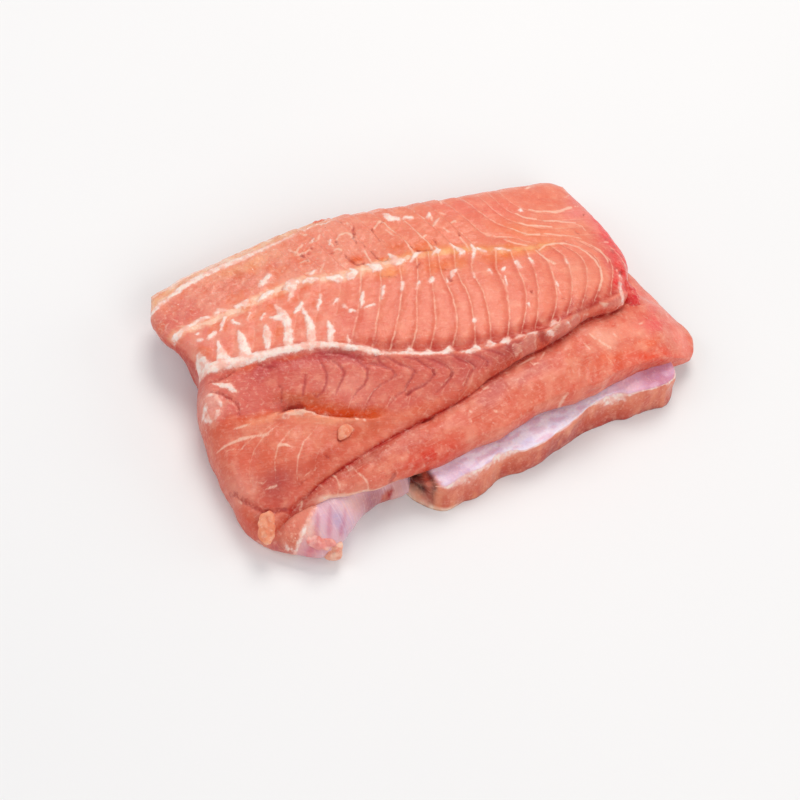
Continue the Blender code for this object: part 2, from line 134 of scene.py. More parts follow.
# White fat on the loin, as strokes of (along, across, half width)
SCAR_FAT = (
    ((-92, -1.2, 0.6), (-89.6, -2.6, 1.5), (-86, -4, 1.6), (-80, -4.2, 2.1), (-70, -4.4, 2), (-60, -4.1, 1.9),
     (-50, -4.2, 1.6), (-40, -5, 1.5), (-33, -6.6, 1.2), (-26, -9.2, 1.1), (-20, -11.8, 1.7), (-17, -13, 0.8),
     (-12, -14.8, 0.7), (-6, -15.8, 0.9), (0, -17.4, 0.8), (4, -18.1, 0.6), (10, -18.8, 0.5)),
    ((-7, -15.6, 0.5), (-4.8, -14.6, 1.1), (-3.6, -16.6, 0.5)),
    ((-1.5, -17.6, 0.6), (2, -17, 1.5), (3.5, -18.2, 0.6)),
    ((7, -18.8, 0.4), (10.2, -17.6, 1.4), (11.2, -18.8, 0.5)),
    ((14.5, -20.2, 0.4), (18, -20.6, 0.9), (21, -19.6, 1.5), (21, -18, 0.6)),
    ((25.2, -19.4, 0.5), (26.8, -19, 1.6), (28.3, -19.2, 0.5)),
    ((31, -19.4, 0.4), (33.6, -18.8, 1.5), (35, -17.6, 0.6)),
    ((37.8, -18.6, 0.4), (39.4, -17.8, 1.1), (41, -18, 0.4)),
    ((43, -18, 0.4), (45.2, -17.6, 0.9), (46.6, -17.2, 0.5)),
    ((51.6, -17.6, 0.4), (53.2, -17.4, 0.8), (54.4, -18.2, 0.3)),
    ((53.6, -15.4, 0.3), (55.7, -13.6, 0.8), (57, -14.8, 0.3)), ((60.6, -15, 0.2), (62, -14.5, 0.5)),
    ((-81.6, -10.9, 0.4), (-79, -12, 1.1), (-76.4, -13.4, 1.2), (-73.9, -16.4, 0.3)),
    ((-86.6, -18.2, 0.5), (-87, -20.6, 0.9)), ((-86.6, -22.8, 0.9), (-85.4, -24.8, 0.5)),
    ((-84.6, -15.4, 0.5), (-83, -15.8, 0.3)), ((-81.8, -17.2, 0.9), (-81, -20, 0.7)),
    ((-82.2, -22.6, 0.8), (-83.4, -24.4, 0.3)),
)
RIB_FAT = (
    ((-84, -2, 2.5), (-84, 1, 1.8), (-84.4, 4.2, 0.8)),
    ((-76, -2, 2.8), (-76, 1, 1.8), (-76.3, 5, 0.8), (-76.5, 7.5, 0.3)),
    ((-67.3, -2, 2.5), (-67, 2, 1.9), (-67.3, 6, 1.5), (-67.6, 9, 0.7)),
    ((-58.6, -2, 0.6), (-58.3, 0, 1.1), (-57.3, 4, 1.7), (-57, 8, 1.1), (-57, 9.5, 0.4)),
    ((-50.5, -2, 1.9), (-49.8, 1, 1.8), (-48.8, 5, 1.6), (-48.4, 10, 1.4), (-49.3, 14, 1.5),
     (-50.8, 18.4, 0.4)), ((-48.8, 9, 1), (-51.5, 12, 1.5), (-54, 12.6, 0.6)),
    ((-41.3, -2, 1.7), (-40.6, 2, 1.6), (-40, 6, 1.4), (-40.5, 10, 0.8), (-41, 14, 0.6)),
    ((-44.5, 12.5, 0.5), (-42.5, 14, 1), (-40.5, 17, 0.8)),
    ((-34.3, -4, 1.3), (-33, 0, 1.3), (-32.8, 3, 0.9), (-33.2, 5.2, 0.3)),
    ((-27.2, -6, 0.6), (-27.4, -3.5, 0.2)),
)
STREAK_FAT = (
    ((-35.6, 11.5, 0.2), (-34, 15, 0.8), (-32.2, 19.2, 0.3)),
    ((-18.4, 9, 0.4), (-17, 13, 0.8), (-15.3, 16.8, 0.4)),
    ((-9.2, 11.5, 0.3), (-7.6, 15.8, 0.6), (-6.6, 17.5, 0.3)), ((-0.4, 13, 0.3), (0.8, 17, 0.6)),
    ((5.4, 12.6, 0.3), (7.4, 16, 0.5)), ((11.8, 14.6, 0.6), (13.2, 16.2, 1)),
    ((18.6, 15, 0.4), (18.6, 13, 0.2)), ((20.8, 15, 0.3), (22.6, 18.2, 0.9), (24.6, 19.2, 0.4)),
    ((30.4, 15.4, 0.6), (30.2, 13, 0.2)), ((37.3, 15.8, 0.5), (37.9, 13.6, 0.2)),
    ((43.4, 15.2, 0.6), (44.6, 16.4, 0.3)), ((42.6, 11.4, 0.3), (42, 7, 0.3)),
    ((50.3, 18.6, 0.9), (50.6, 15.4, 0.7)), ((56.6, 19.6, 0.6), (57, 16.4, 0.4)),
    ((-24.8, 11.2, 0.9), (-24.2, 10, 0.5)), ((-22.8, 8, 0.9), (-21.6, 7.4, 0.6)),
    ((-17.5, 8, 0.3), (-13, 9, 0.5)), ((-79.6, 9.4, 0.6), (-76.5, 11.6, 0.9)),
    ((-83.4, 12.6, 0.6), (-82.6, 13.2, 0.4)), ((-74, 12, 0.3), (-72.6, 15, 0.6), (-71, 18, 0.5)),
    ((-68.6, 15.2, 0.8), (-66.8, 13.2, 0.4)), ((-63, 14, 0.2), (-61.2, 17.4, 0.4)),
    ((-57.6, 13, 0.5), (-56.2, 15, 0.5)), ((63.2, 5.5, 0.3), (63, 3, 0.2)),
    ((72, 17, 0.3), (71.6, 14.6, 0.2)), ((23.2, -8.2, 0.7), (23.8, -6.8, 0.4)),
    ((-83.6, 10, 0.5), (-82, 9.4, 0.4)), ((-28.8, 13, 0.3), (-26.4, 15.6, 0.5)),
    ((47.6, -4, 0.3), (47.2, -5.6, 0.2)),
)
SEAM_FAT = (
    ((-91, 14.5, 1.4), (-88, 16.3, 0.9), (-84, 18, 0.6), (-80, 19.8, 0.9), (-77.3, 20, 0.5)),
    ((-74.5, 20.4, 0.6), (-72.5, 22.2, 1.1), (-70, 21, 0.3)),
    ((-66, 22, 0.7), (-62, 22.8, 1.3), (-60.6, 24, 0.4)),
    ((-56.8, 22.4, 0.4), (-53.5, 24.3, 1.3), (-50.2, 26, 0.7)),
    ((-44.8, 26, 0.9), (-42, 28.2, 2), (-39.8, 28, 1)),
    ((-41.8, 26, 1.5), (-43.6, 22.4, 0.9), (-45, 19.6, 0.3)),
    ((-37.2, 27, 0.7), (-34.5, 27.4, 1.6), (-31.4, 27.2, 0.5)), ((-27, 26.6, 0.9), (-23.6, 25.6, 2.1)),
    ((-18.4, 25.6, 1.9), (-16, 27, 1.3), (-17.4, 30, 0.4)),
    ((-10, 30, 0.6), (-6.6, 27.4, 1.9), (-8.4, 25.6, 0.6)),
    ((0, 33, 0.5), (1.4, 30.6, 1.1), (1.4, 28.4, 2), (4.8, 28.4, 0.7)),
    ((7.4, 27, 0.4), (10.6, 30.5, 0.9), (13, 31.2, 0.5)),
    ((19.6, 33.4, 0.3), (20, 30.6, 1.1), (17.2, 29, 0.4)),
    ((26.4, 33.4, 0.3), (28.4, 30.6, 1), (29.6, 28, 1.3), (28, 26, 0.3)),
    ((34.9, 31.4, 0.4), (35, 28.2, 0.8), (33.4, 24, 0.3)), ((36.6, 28.6, 0.7), (39.4, 26, 0.4)),
    ((44.2, 27.4, 0.4), (46.4, 26.4, 0.8), (49.6, 25.2, 0.5)), ((-33.5, 30.4, 0.5), (-31.6, 31.8, 0.6)),
    ((-54.4, 29.6, 0.7), (-52, 31.8, 1.5), (-49.2, 35, 0.7)),
    ((5.2, 57, 0.9), (7, 54, 1.6), (9.4, 52.6, 1.2)), ((12.6, 53.4, 0.9), (15.6, 52.2, 0.5)),
    ((22.6, 51.4, 0.8), (23.6, 53, 0.5)), ((63.2, 48.4, 1), (63.6, 49.4, 0.6)),
    ((-28.4, 48.4, 0.3), (-27, 50.4, 0.3)), ((-21.6, 45, 0.3), (-20.8, 47.4, 0.3)),
    ((24, 47, 0.3), (26.4, 49, 0.4)),
)
EDGE_LINE = (
    (-98, 29.6), (-90, 34.4), (-85, 37.6), (-78, 41), (-70, 43.8), (-62, 45.6), (-55, 47.6), (-48, 49.8),
    (-42, 51.6), (-36, 53.8), (-29, 56.6), (-22, 58), (-12, 60), (4, 61),
)
EDGE_FAT = (
    ((-98, 29.4, 1), (-90, 34.2, 0.9), (-85, 37.4, 1.2), (-78, 40.6, 1.4), (-70, 43.6, 1.5), (-62, 45.6, 1.5),
     (-55, 47.6, 1.3), (-48, 49.8, 0.8), (-42, 51.6, 0.6), (-36, 53.8, 0.8), (-29, 56.6, 0.4), (-22, 58, 0.3),
     (-12, 60, 0.3), (-2, 61.4, 0.4), (4, 61, 0.1)),
    ((-98, 36.4, 0.2), (-92, 39, 0.3), (-86, 42.4, 0.6), (-79, 45.4, 0.7), (-71, 48.6, 0.4),
     (-62, 51.4, 0.1)), ((-60, 51.8, 0.1), (-54, 53.4, 0.4), (-46, 56.2, 0.2), (-40, 58.2, 0)),
)
# The broad, ragged, peach-coloured band that the seam's nodes sit on
SEAM_BAND = (
    ((-94, 14, 1.4), (-90.9, 15.6, 1.8), (-82, 17, 2.2), (-73, 18.4, 2.4), (-65, 20.6, 2.3), (-57, 23.4, 2.4),
     (-49, 26, 2.6), (-41, 27.4, 2.6), (-35, 27.4, 2.2), (-28, 27.2, 2.2), (-20, 26.4, 2.4), (-10, 28, 2.2),
     (0, 29, 2), (12, 30, 1.5), (30, 29.2, 1.2), (41.5, 27.1, 1.1), (49.9, 25.6, 1), (58.7, 25.2, 0.9),
     (63.4, 26, 0.7), (70.4, 27.3, 0.2)),
)
LIP_FAT = (
    ((94, 11.5, 0.2), (94.6, 7.6, 0.8), (93, 3.8, 0.3), (91, 0.6, 0.7), (91.4, -2.6, 0.9), (91, -5.2, 0.4),
     (87.6, -7.6, 0.5), (82, -8.8, 0.2), (76, -9.6, 0)),
)
# Thin pale lines: arcs at the right end, edges of the torn blocks beyond the seam, specks on the lobe
RIGHT_LINES = (
    ((73.8, 46.8, 0.3), (78.3, 46.2, 0.6), (82, 46.8, 0.6), (86.9, 49, 0.5), (92.1, 50.7, 0.2)),
    ((71.3, 40.8, 0.2), (76.4, 40.5, 0.4), (80.7, 39.3, 0.3), (85.5, 39, 0.2)),
    ((68.3, 33.1, 0.2), (73.8, 31.5, 0.3), (79.1, 30.6, 0.2), (84.2, 28.9, 0.1)),
    ((62.4, 23.8, 0.2), (66.2, 26.2, 0.3), (69.4, 26.6, 0.4), (75.2, 26.1, 0.3), (80, 23.7, 0.3),
     (82.9, 20.2, 0.4), (85.1, 15.9, 0.5), (85.7, 10.9, 0.4), (84.2, 5.2, 0.3), (80.1, -1.4, 0.1)),
    ((83.1, 27.6, 0.1), (87.3, 24.7, 0.2), (90.3, 22.2, 0.4), (91.7, 17.5, 0.4), (91.4, 11.7, 0.2)),
    ((83.5, 38.8, 0), (87.9, 37.1, 0.2), (88.3, 34, 0.1)),
    ((93.4, 27.2, 0.1), (96.9, 28.2, 0.3), (98.8, 27.7, 0.1)), ((71.5, 15.4, 0.5), (71.8, 17.4, 0.2)),
    ((66.3, 15, 0.3), (65.2, 16.9, 0.1)), ((62.5, 4.5, 0), (62.7, 1.6, 0.1), (62.6, -1.1, 0)),
    ((84.6, 54, -0.1), (88.5, 56.8, 0.1), (91.3, 58.8, 0.2)),
    ((78.3, -6.8, 0.2), (81, -7.5, 0.3), (82.6, -6.7, 0.2)),
    ((58.6, -12.7, 0.1), (56.6, -15.6, 0.3), (53.6, -16.8, 0.2)),
    ((69.3, -12.7, 0.3), (68.4, -14.2, 0.3), (65.6, -16.2, 0.1)), ((73.6, -10.5, 0.3), (77.5, -9.8, 0.2)),
    ((50, 32, 0.2), (53, 29.4, 0.3), (58, 27.2, 0.3)),
    ((55, 38, 0.2), (58, 35.4, 0.3), (61, 33.6, 0.3), (66, 33, 0.4)),
    ((60, 41, 0.2), (63, 39, 0.4), (68, 38, 0.3), (73, 36.8, 0.4)),
    ((60.5, 47, 0.2), (63, 44, 0.3), (68, 42.2, 0.3)), ((67, 48.4, 0.2), (70, 47, 0.3), (74, 46.8, 0.4)),
    ((61, 23.6, 0.3), (63, 19, 0.4), (65.6, 14.8, 0.3)), ((70, 62, 0.3), (74, 64.4, 0.6), (80, 65, 0.4)),
)
UPPER_LINES = (
    ((-18.3, 47.1, 0), (-16.4, 49.5, 0.2), (-13.4, 49.7, 0.3), (-11.8, 48, 0.3), (-11.4, 45, 0.1)),
    ((-1.4, 49.8, 0), (1.7, 52.9, 0.3), (3.6, 52.2, 0.3), (4.8, 47.5, 0.2), (6.4, 44.4, 0)),
    ((2.7, 47.7, 0), (4.3, 44.7, 0.2), (5.1, 43.2, 0)),
    ((8, 41.4, -0.1), (8.9, 37.4, 0.1), (9.5, 33.7, 0.2), (9.9, 30.9, 0.3)),
    ((12.4, 51.3, 0.1), (14, 46.8, 0.2), (15.5, 40.3, 0.1), (17.7, 36.3, 0.2), (17.9, 32.1, 0.3)),
    ((17.5, 56.5, 0.1), (19.2, 53.4, 0.2), (20.6, 51.1, 0.2)),
    ((12.8, 53.6, 0.3), (14.3, 53, 0.3), (16, 53, 0.1)),
    ((22.8, 52.2, 0.1), (23.8, 51.3, 0.3), (23.5, 49.2, 0.1)),
    ((26.1, 48.8, 0), (23.3, 46, 0.3), (22.8, 45.6, 0.1)), ((15.5, 39.2, 0), (18.1, 40.7, 0.3)),
    ((31.4, 46.1, 0.3), (32.8, 46.6, 0.4), (32.9, 45.5, 0.1)), ((26.8, 43.2, 0.1), (28.1, 40.5, 0.1)),
    ((-35.9, 44.1, 0.1), (-34.1, 46.3, 0.3), (-32.5, 47.7, 0.1)),
    ((-29.4, 48, 0.1), (-28.6, 48.1, 0.4), (-26.7, 49.1, 0.2)),
    ((-21.8, 47, 0.1), (-20.8, 44.3, 0.3), (-20.7, 43.1, 0.1)),
    ((-20.7, 41.5, 0.1), (-19.1, 41.5, 0.2), (-18.2, 40.1, 0.1)),
    ((-23.5, 52.9, -0.1), (-25.4, 49.3, 0.1), (-29.2, 47.4, -0.1)), ((31.1, 61.1, 0.2), (30.9, 58, 0.1)),
    ((28.4, 53.4, 0.1), (30.5, 51.6, 0)), ((-36.3, 42.2, 0.1), (-32.8, 43, 0.2), (-30.3, 44.7, 0.1)),
    ((-38.6, 46.2, 0.1), (-36, 43.6, 0.2), (-34.2, 40.9, 0.1)),
    ((-35.8, 38, 0), (-32.6, 38.7, 0.2), (-32.1, 37.4, 0)),
    ((-20.4, 33.2, -0.1), (-17.7, 29.5, -0.1), (-17.4, 27.6, -0.2)),
    ((-26.5, 35.4, 0), (-28.4, 32.7, 0.1), (-29.4, 30.5, 0)),
    ((-34.9, 31.5, 0.3), (-32.6, 31.2, 0.5), (-30.7, 32, 0.1)),
    ((-8, 30.2, 0), (-8.9, 35.5, 0.1), (-8.9, 38.3, 0)), ((31.6, 36.7, 0), (32.8, 32.3, 0.1), (33, 27.9, 0)),
    ((-8.4, 65.9, -0.1), (-7.4, 65, -0.1)), ((-10, 52.6, 0), (-11.5, 56.5, 0.1)),
    ((-32.3, 54.9, 0.1), (-30.4, 52.6, 0.2), (-27.5, 54.2, 0)),
)
LOBE_SPECKS = (
    ((-83.6, -37.5, -0.1), (-79.9, -38, 0.1), (-76.3, -38.8, -0.1)),
    ((-78.2, -30.2, 0), (-75.2, -30.4, 0.3), (-71.4, -30.3, 0.1)), ((-68.1, -36.3, 0.1), (-66.6, -36.3, 0.2)),
    ((-63.3, -41.7, 0.3), (-61, -41.8, 0.5), (-59, -43.2, 0.2)),
    ((-72.5, -56.6, -0.1), (-69.5, -56.4, 0.2), (-67.2, -56.3, 0.2)),
    ((-83.6, -46.9, -0.1), (-79, -48, 0), (-75.4, -48.9, -0.1)),
    ((-58.1, -56.2, -0.1), (-53.8, -54.1, -0.1), (-50.5, -53.1, -0.1)),
    ((-81.4, -56, 0.1), (-80.6, -57.7, 0.1)), ((-74.3, -52.7, -0.1), (-72, -54.2, 0.1), (-69.6, -53.4, -0.1)),
    ((-51.6, -27.9, 0.3), (-49.6, -27.6, 0.3)), ((-31.8, -36.8, 0.5), (-31.5, -37.2, 0.5)),
    ((-28.9, -37.9, 0.3), (-28.6, -38.3, 0.3)),
)
# Septa that fan out over the near left lobe, and the pale ridge above it
LOBE_SEPTA = (
    ((-63.1, -32.2, -0.2), (-69.5, -35.1, 0.1), (-74.8, -37.2, 0), (-79.7, -40.9, -0.1),
     (-81.9, -43.1, -0.3)),
    ((-60.3, -32.3, -0.2), (-67.7, -36.4, 0.1), (-72.1, -40.5, 0), (-74.7, -44.8, -0.1), (-76, -49.4, -0.1),
     (-75.9, -53.6, -0.3)),
    ((-51.9, -33, -0.3), (-58.8, -37.4, 0), (-63.4, -41.6, 0.1), (-65.9, -47, 0), (-67, -53.7, -0.2),
     (-67.5, -57.5, -0.3)),
    ((-41, -35.1, -0.3), (-47.1, -36.8, -0.1), (-53.7, -42.2, 0), (-57.1, -47.7, 0.1), (-58.8, -52.9, 0),
     (-59.4, -58.1, -0.3)),
    ((-36.1, -38.7, -0.3), (-43.3, -43.2, -0.2), (-48.3, -46.2, -0.1), (-51, -50.1, -0.1),
     (-51.9, -54.1, -0.3)),
    ((-85.5, -35.8, 0.1), (-81.9, -35.2, 0.4), (-76.3, -34.8, 0.5), (-71, -35.4, 0.4), (-65.5, -36, 0.1)),
    ((-58.3, -29.7, 0.2), (-54.3, -30.4, 0.6), (-50.1, -30.5, 0.5), (-47.3, -31.6, 0.3), (-44.8, -33.2, 0.1),
     (-40.8, -34.6, 0), (-34, -36.2, -0.1)),
)
BELLY_SEPTA = (
    ((-51.3, -54.9, 0.1), (-47, -53.3, 0.3), (-44.3, -57.3, 0.2), (-43.6, -60.7, 0.1), (-46, -64.4, 0.1)),
    ((-37.6, -54.9, 0), (-35.4, -58.7, 0.3), (-33.6, -61.6, 0.2), (-32.2, -65.2, 0.1)),
    ((-60, -60.7, 0.1), (-58.7, -63.3, 0.2), (-60, -65.5, 0.1)), ((-39.4, -53.2, 0.3), (-38.9, -55.4, 0.3)),
    ((74.8, -20.8, 0.4), (76.8, -22.9, 0.4), (78.8, -24.9, 0.3)), ((71.8, -17, 0.2), (73.4, -19.7, 0.4)),
    ((82.5, -18.6, 0.4), (83, -19.7, 0.3)), ((67.9, -21.5, 0.2), (68.6, -25.3, 0.1)),
    ((96.1, -14.3, 0.3), (97.9, -13.4, 0.2)), ((50.4, -22.2, 0.2), (47.1, -25.6, 0.1)),
    ((61.4, -23.7, 0), (57.1, -28.2, 0)), ((74.7, -26.4, 0), (76.7, -31.6, 0.2), (78.3, -35.7, -0.1)),
    ((36.2, -21.4, 0.4), (36.7, -22.3, 0.4)), ((19.9, -31.6, 0.6), (20.8, -31.4, 0.5)),
    ((21.3, -33.3, 0.4), (22.9, -33.3, 0.3)), ((12.9, -41.9, 0.4), (13.1, -42.4, 0.4)),
    ((22.5, -44.1, 0.4), (23.2, -44.6, 0.3)), ((11.8, -45.5, 0.3), (12, -46.3, 0.3)),
    ((30.9, -34, -0.1), (34.7, -32.6, 0.1), (38, -32.4, -0.1)),
    ((42.9, -25.6, 0.2), (44.1, -27, 0.4), (45.8, -26.9, 0.3)),
    ((38.6, -25.9, 0), (42.5, -24.4, 0.3), (45.7, -23.7, 0.2)), ((71.7, -44.3, -0.1), (71.6, -40, 0.1)),
    ((61.4, -48, 0), (61.7, -44.7, 0.1), (64.7, -41.4, 0)),
    ((48.9, -47.5, 0), (51.1, -43.5, 0.2), (54, -41.8, 0.1)), ((39.1, -52.1, 0), (42.3, -47.7, 0.1)),
)
CHEVRON_PALE = (
    ((-13.6, -29.1, -0.1), (-17.1, -32.2, 0.1), (-19.3, -34.8, 0)),
    ((3.2, -31.1, 0), (6, -29.4, 0.1), (8.9, -27.5, 0)), ((16.6, -26.5, 0), (13, -31.2, 0.1), (10, -33.7, 0)),
    ((-2.5, -34.9, 0), (-6.3, -37.5, 0.1), (-9.2, -39.3, -0.1)),
    ((-8.6, -31.5, 0), (-10.6, -35.3, 0.1), (-14.3, -37.2, -0.1)),
    ((-19.6, -25.9, 0), (-23.3, -27.8, 0.1), (-25.8, -30.4, 0.1), (-28.6, -33.9, -0.1)),
    ((-31.2, -28.1, 0), (-33, -30.8, 0.1), (-34.3, -33, -0.1)),
    ((23.6, -24.7, 0), (20.6, -27.4, 0.1), (17.3, -30.6, -0.1)),
    ((29.7, -23.6, 0), (28, -26.1, 0.1), (25.3, -29, -0.1)),
    ((5.3, -22.5, -0.1), (9.5, -25.3, 0.1), (14.1, -26.5, 0.1), (17.6, -25.6, -0.1)),
    ((-5.4, -23.4, -0.1), (-0.3, -22.4, 0), (2.5, -24.2, 0.1)),
)
# The blocks under the scar, whose edges are dusky red and bend like arrowheads that point right
CHEVRONS = (
    ((-46.8, -15.6, -0.2), (-48.1, -19.5, 0.1), (-49.9, -24, -0.1)),
    ((-40.3, -10.1, -0.2), (-39.5, -13.2, 0.1), (-38.9, -17, 0.1), (-39.8, -20.9, 0), (-42.1, -24.1, 0),
     (-44.8, -25.5, 0), (-45.9, -23.7, -0.3)),
    ((-35.3, -12.2, -0.1), (-33, -15.6, 0.15), (-32, -18.1, 0.2), (-33.5, -20.7, 0.1), (-35.7, -23.5, 0),
     (-37.5, -26.3, -0.3)),
    ((-29.9, -11, 0.2), (-26.1, -13.5, 0.1), (-24.5, -16.5, 0.1), (-23, -18.7, 0.1), (-23.9, -22.1, 0.15),
     (-25.7, -24.5, 0.1), (-28.4, -25.9, 0), (-31.3, -28.5, -0.3)),
    ((-18.3, -13.7, 0.2), (-17.7, -16.5, 0.2), (-15.6, -19.5, 0.15), (-13.7, -21.2, 0.1), (-13.1, -23.6, 0.1),
     (-15.4, -24.8, -0.1), (-19.6, -25.9, -0.1), (-23.4, -28.2, -0.1), (-25.6, -31.2, -0.2),
     (-27.8, -34.1, -0.4)),
    ((-15.3, -14.8, 0.1), (-12.7, -17.3, 0.1), (-10.1, -19.9, 0.1), (-7.3, -21.3, 0.1), (-5.4, -23.4, 0.1),
     (-6.8, -25.7, 0.1), (-9.4, -28, 0.15), (-10.7, -30, -0.1), (-14.6, -31.5, -0.2), (-18.5, -34.6, -0.4)),
    ((-8, -17.4, 0), (-3.6, -19.1, 0.1), (-1, -21.9, 0.1), (1.7, -24.1, 0.1), (2, -26.2, 0.15),
     (-0.2, -28.2, 0), (-2.9, -29.6, 0), (-8, -30.5, 0.15), (-9.8, -31.7, 0.1)),
    ((-1.1, -18.9, -0.1), (3.2, -21, 0.1), (6.7, -23.5, 0.1), (8.6, -25.5, 0.1), (9.4, -27.2, 0.05),
     (7.3, -29.2, 0.2), (4.8, -31.1, -0.1), (1.2, -33, -0.3)),
    ((6.2, -18.3, 0), (10.6, -20.3, 0.15), (13.3, -23, 0.2), (17, -24.7, 0.1), (18.7, -26.4, 0),
     (16.1, -28.6, -0.1), (13.7, -31.6, -0.1), (10.7, -34.1, -0.4)),
    ((13.3, -19, -0.1), (17, -20.9, 0.1), (21.4, -23.3, 0.05), (24.3, -25.4, -0.1), (23, -27.6, -0.2)),
    ((19.7, -19.5, -0.1), (24.3, -21.1, 0.1), (28.2, -22.8, 0), (31.4, -23.8, -0.3)),
    ((-23.2, -16.4, -0.1), (-20.5, -16.6, 0.1), (-17.7, -18.1, 0.2), (-15.7, -19.9, 0.2)),
)
# Small see-through lumps on the lip at the right end and beside the hollow, as (along, across, half size)
LUMPS = (
    (37, -22, 2.2), (42.8, -21, 3.4), (55.2, -18, 1.8), (60.6, -16.4, 3.2), (66.4, -13.6, 2.8),
    (71.6, -11.4, 1.6), (-51.6, -29.4, 1.8), (-47.4, -30.8, 2), (-43.2, -32.6, 1.5), (-58.5, -30.6, 1.6),
)
# Cracks and torn places, painted dark red at the bottom as shade
CREASES = (
    ((-60.8, -29.2, 0.3), (-58, -27.8, 0.9), (-55.2, -26.6, 1.2), (-52, -26.6, 1.2), (-49.6, -27.2, 0.4)),
    ((-83.2, -14.2, 0.3), (-79.6, -15.9, 0.5), (-76.3, -18.4, 0.5), (-74.8, -20.6, 0.4), (-74.4, -23.4, 0.2)),
    ((-83.5, -9.5, 0.1), (-79.6, -9.6, 0.3), (-75.4, -8.6, 0.3), (-73, -7.6, 0.1)),
    ((-71, -6.8, 0.2), (-68, -6.2, 0.3), (-64.4, -5.4, 0.2)),
    ((-63.6, -7, 0.2), (-61, -8.6, 0.2), (-57, -10, 0.1)),
    ((-36, -8.6, 0.5), (-32, -9.4, 0.8), (-29, -10.4, 0.9), (-26.6, -10.6, 0.4)),
    ((-26, -12.2, 0.3), (-23.6, -14.6, 0.2)), ((-19.4, -14.2, 0.5), (-16, -13.6, 0.8), (-12.4, -14.2, 0.3)),
    ((-10, -14.8, 0.3), (-6.4, -16.2, 0.3)), ((10.4, -19.3, 0.7), (11, -19.6, 0.4)),
    ((46.9, -17.8, 0.7), (49.6, -18.4, 1.7), (51.9, -19, 0.8)), ((-10.4, -31.4, 0.4), (-9, -31, 0.4)),
    ((1.4, -24.8, 0.2), (2, -26.4, 0.3)), ((8.2, -28, 0.3), (8.8, -26.6, 0.1)),
    ((-5.2, -23.8, 0.2), (-4.8, -24.6, 0.2)),
    ((-58, -17.4, 0.1), (-57, -19, 0.3), (-57.6, -21.6, 0.2), (-58.2, -24, 0.1)),
    ((-9.5, 53, 0.2), (-10.2, 49.1, 0.5), (-11.6, 45.6, 0.2)), ((-11.4, 45, 0.1), (-11.1, 42.7, 0.1)),
    ((-2.6, 50.1, 0.2), (-2.2, 47.1, 0.2), (-1.5, 43.6, 0.1), (-1.3, 41.6, 0)),
    ((-6.6, 37.9, 0.3), (-5.7, 34.9, 0.5), (-5, 31.8, 0.4)),
    ((-5.8, 30.6, 0), (-2.1, 30.3, 0.2), (-1, 31.1, 0.1)),
    ((-17.7, 37.2, 0.1), (-16.1, 34, 0.3), (-13.8, 30.5, 0.2), (-11, 31.4, 0.3)),
    ((10, 35.4, 0.2), (11.8, 32.9, 0.3), (15, 32, 0.3), (17.8, 31.6, 0.2)),
    ((4, 53.8, 0.3), (1.7, 51.5, 0.1)), ((20.6, 37.7, 0.2), (21, 34.7, 0.3)),
    ((-8.2, 39.5, 0.1), (-8.5, 41.8, 0)), ((-34.4, 41.5, 0.5), (-33.8, 40.7, 0.4)),
    ((-33, 38.9, 0.3), (-32.8, 38.2, 0.3)), ((-27.4, 51, 0.2), (-27.2, 48.7, 0.3)),
    ((-31.2, 43, 0.3), (-30.9, 42.4, 0.3)), ((-29.4, 45.1, 0.2), (-29.1, 44.4, 0.2)),
    ((-19.1, 45.8, 0.1), (-18.8, 43.8, 0.2)), ((-25.4, 45.9, 0.1), (-25.2, 45.2, 0.1)),
    ((-20.6, 59.2, 0.4), (-19.2, 58.2, 0.5)), ((-13.4, 57.2, 0.3), (-13.3, 56.1, 0.1)),
    ((-22.9, 40.8, 0.1), (-21.6, 39.7, 0.1)), ((-7.2, 23.8, 0.1), (-4.5, 22.1, 0.1), (-0.7, 20.7, 0.1)),
    ((8.9, 23.3, 0.2), (11, 25.9, 0.1)), ((16.6, 22.2, 0), (19.4, 20.1, 0.1), (21.5, 19.2, 0)),
    ((19.9, 15.4, 0.5), (20.2, 13.6, 0.5)), ((-1.4, 12.8, 0.2), (-0.1, 14.3, 0)),
    ((83.4, 33, 0.4), (84.2, 32.4, 0.3)), ((92.6, 32.4, 0.4), (93.4, 31.9, 0.3)),
    ((98, 28.3, 0.3), (98.5, 27.1, 0.4)), ((93, 45.6, 0.4), (91.3, 44.1, 0.2)),
    ((95.8, 13.2, 0.2), (95.9, 9.8, 0.9), (97.4, 11.6, 0.7)), ((62.7, -3.3, 0.3), (63.3, -3.9, 0.3)),
    ((50.7, 1.5, 0.4), (50.8, 0.5, 0.3)), ((32.1, 39.6, 0.2), (31.9, 37.7, 0.2)),
    ((-46.1, 25.9, 0.4), (-45.5, 26.8, 0.2)), ((13.9, -22.1, -0.1), (14.2, -22.5, -0.1)),
    ((-74.8, -24.5, 0.2), (-74.6, -25.4, 0.1)), ((-51.5, -27.6, 0.3), (-50.1, -28.6, 0.3)),
    ((-40.3, -43.4, 0.5), (-39.7, -44, 0.3)), ((-46.5, -49.5, 0.3), (-45.9, -49.9, 0.3)),
    ((-75.4, -61.2, 0.1), (-74, -63.9, 0.1), (-74.3, -66.8, -0.1)),
    ((-83.6, -51.4, 0.2), (-79.8, -56.8, 0.5), (-77.2, -60.6, 0.7), (-73.8, -63.6, 0.7), (-70, -64.8, 0.6),
     (-65.6, -65.2, 0.7)), ((-44.6, -47.8, 0), (-42.9, -47.2, 0)),
    ((-60.2, -59.1, -0.1), (-57.5, -57.1, 0), (-53.4, -55.6, -0.1)),
)
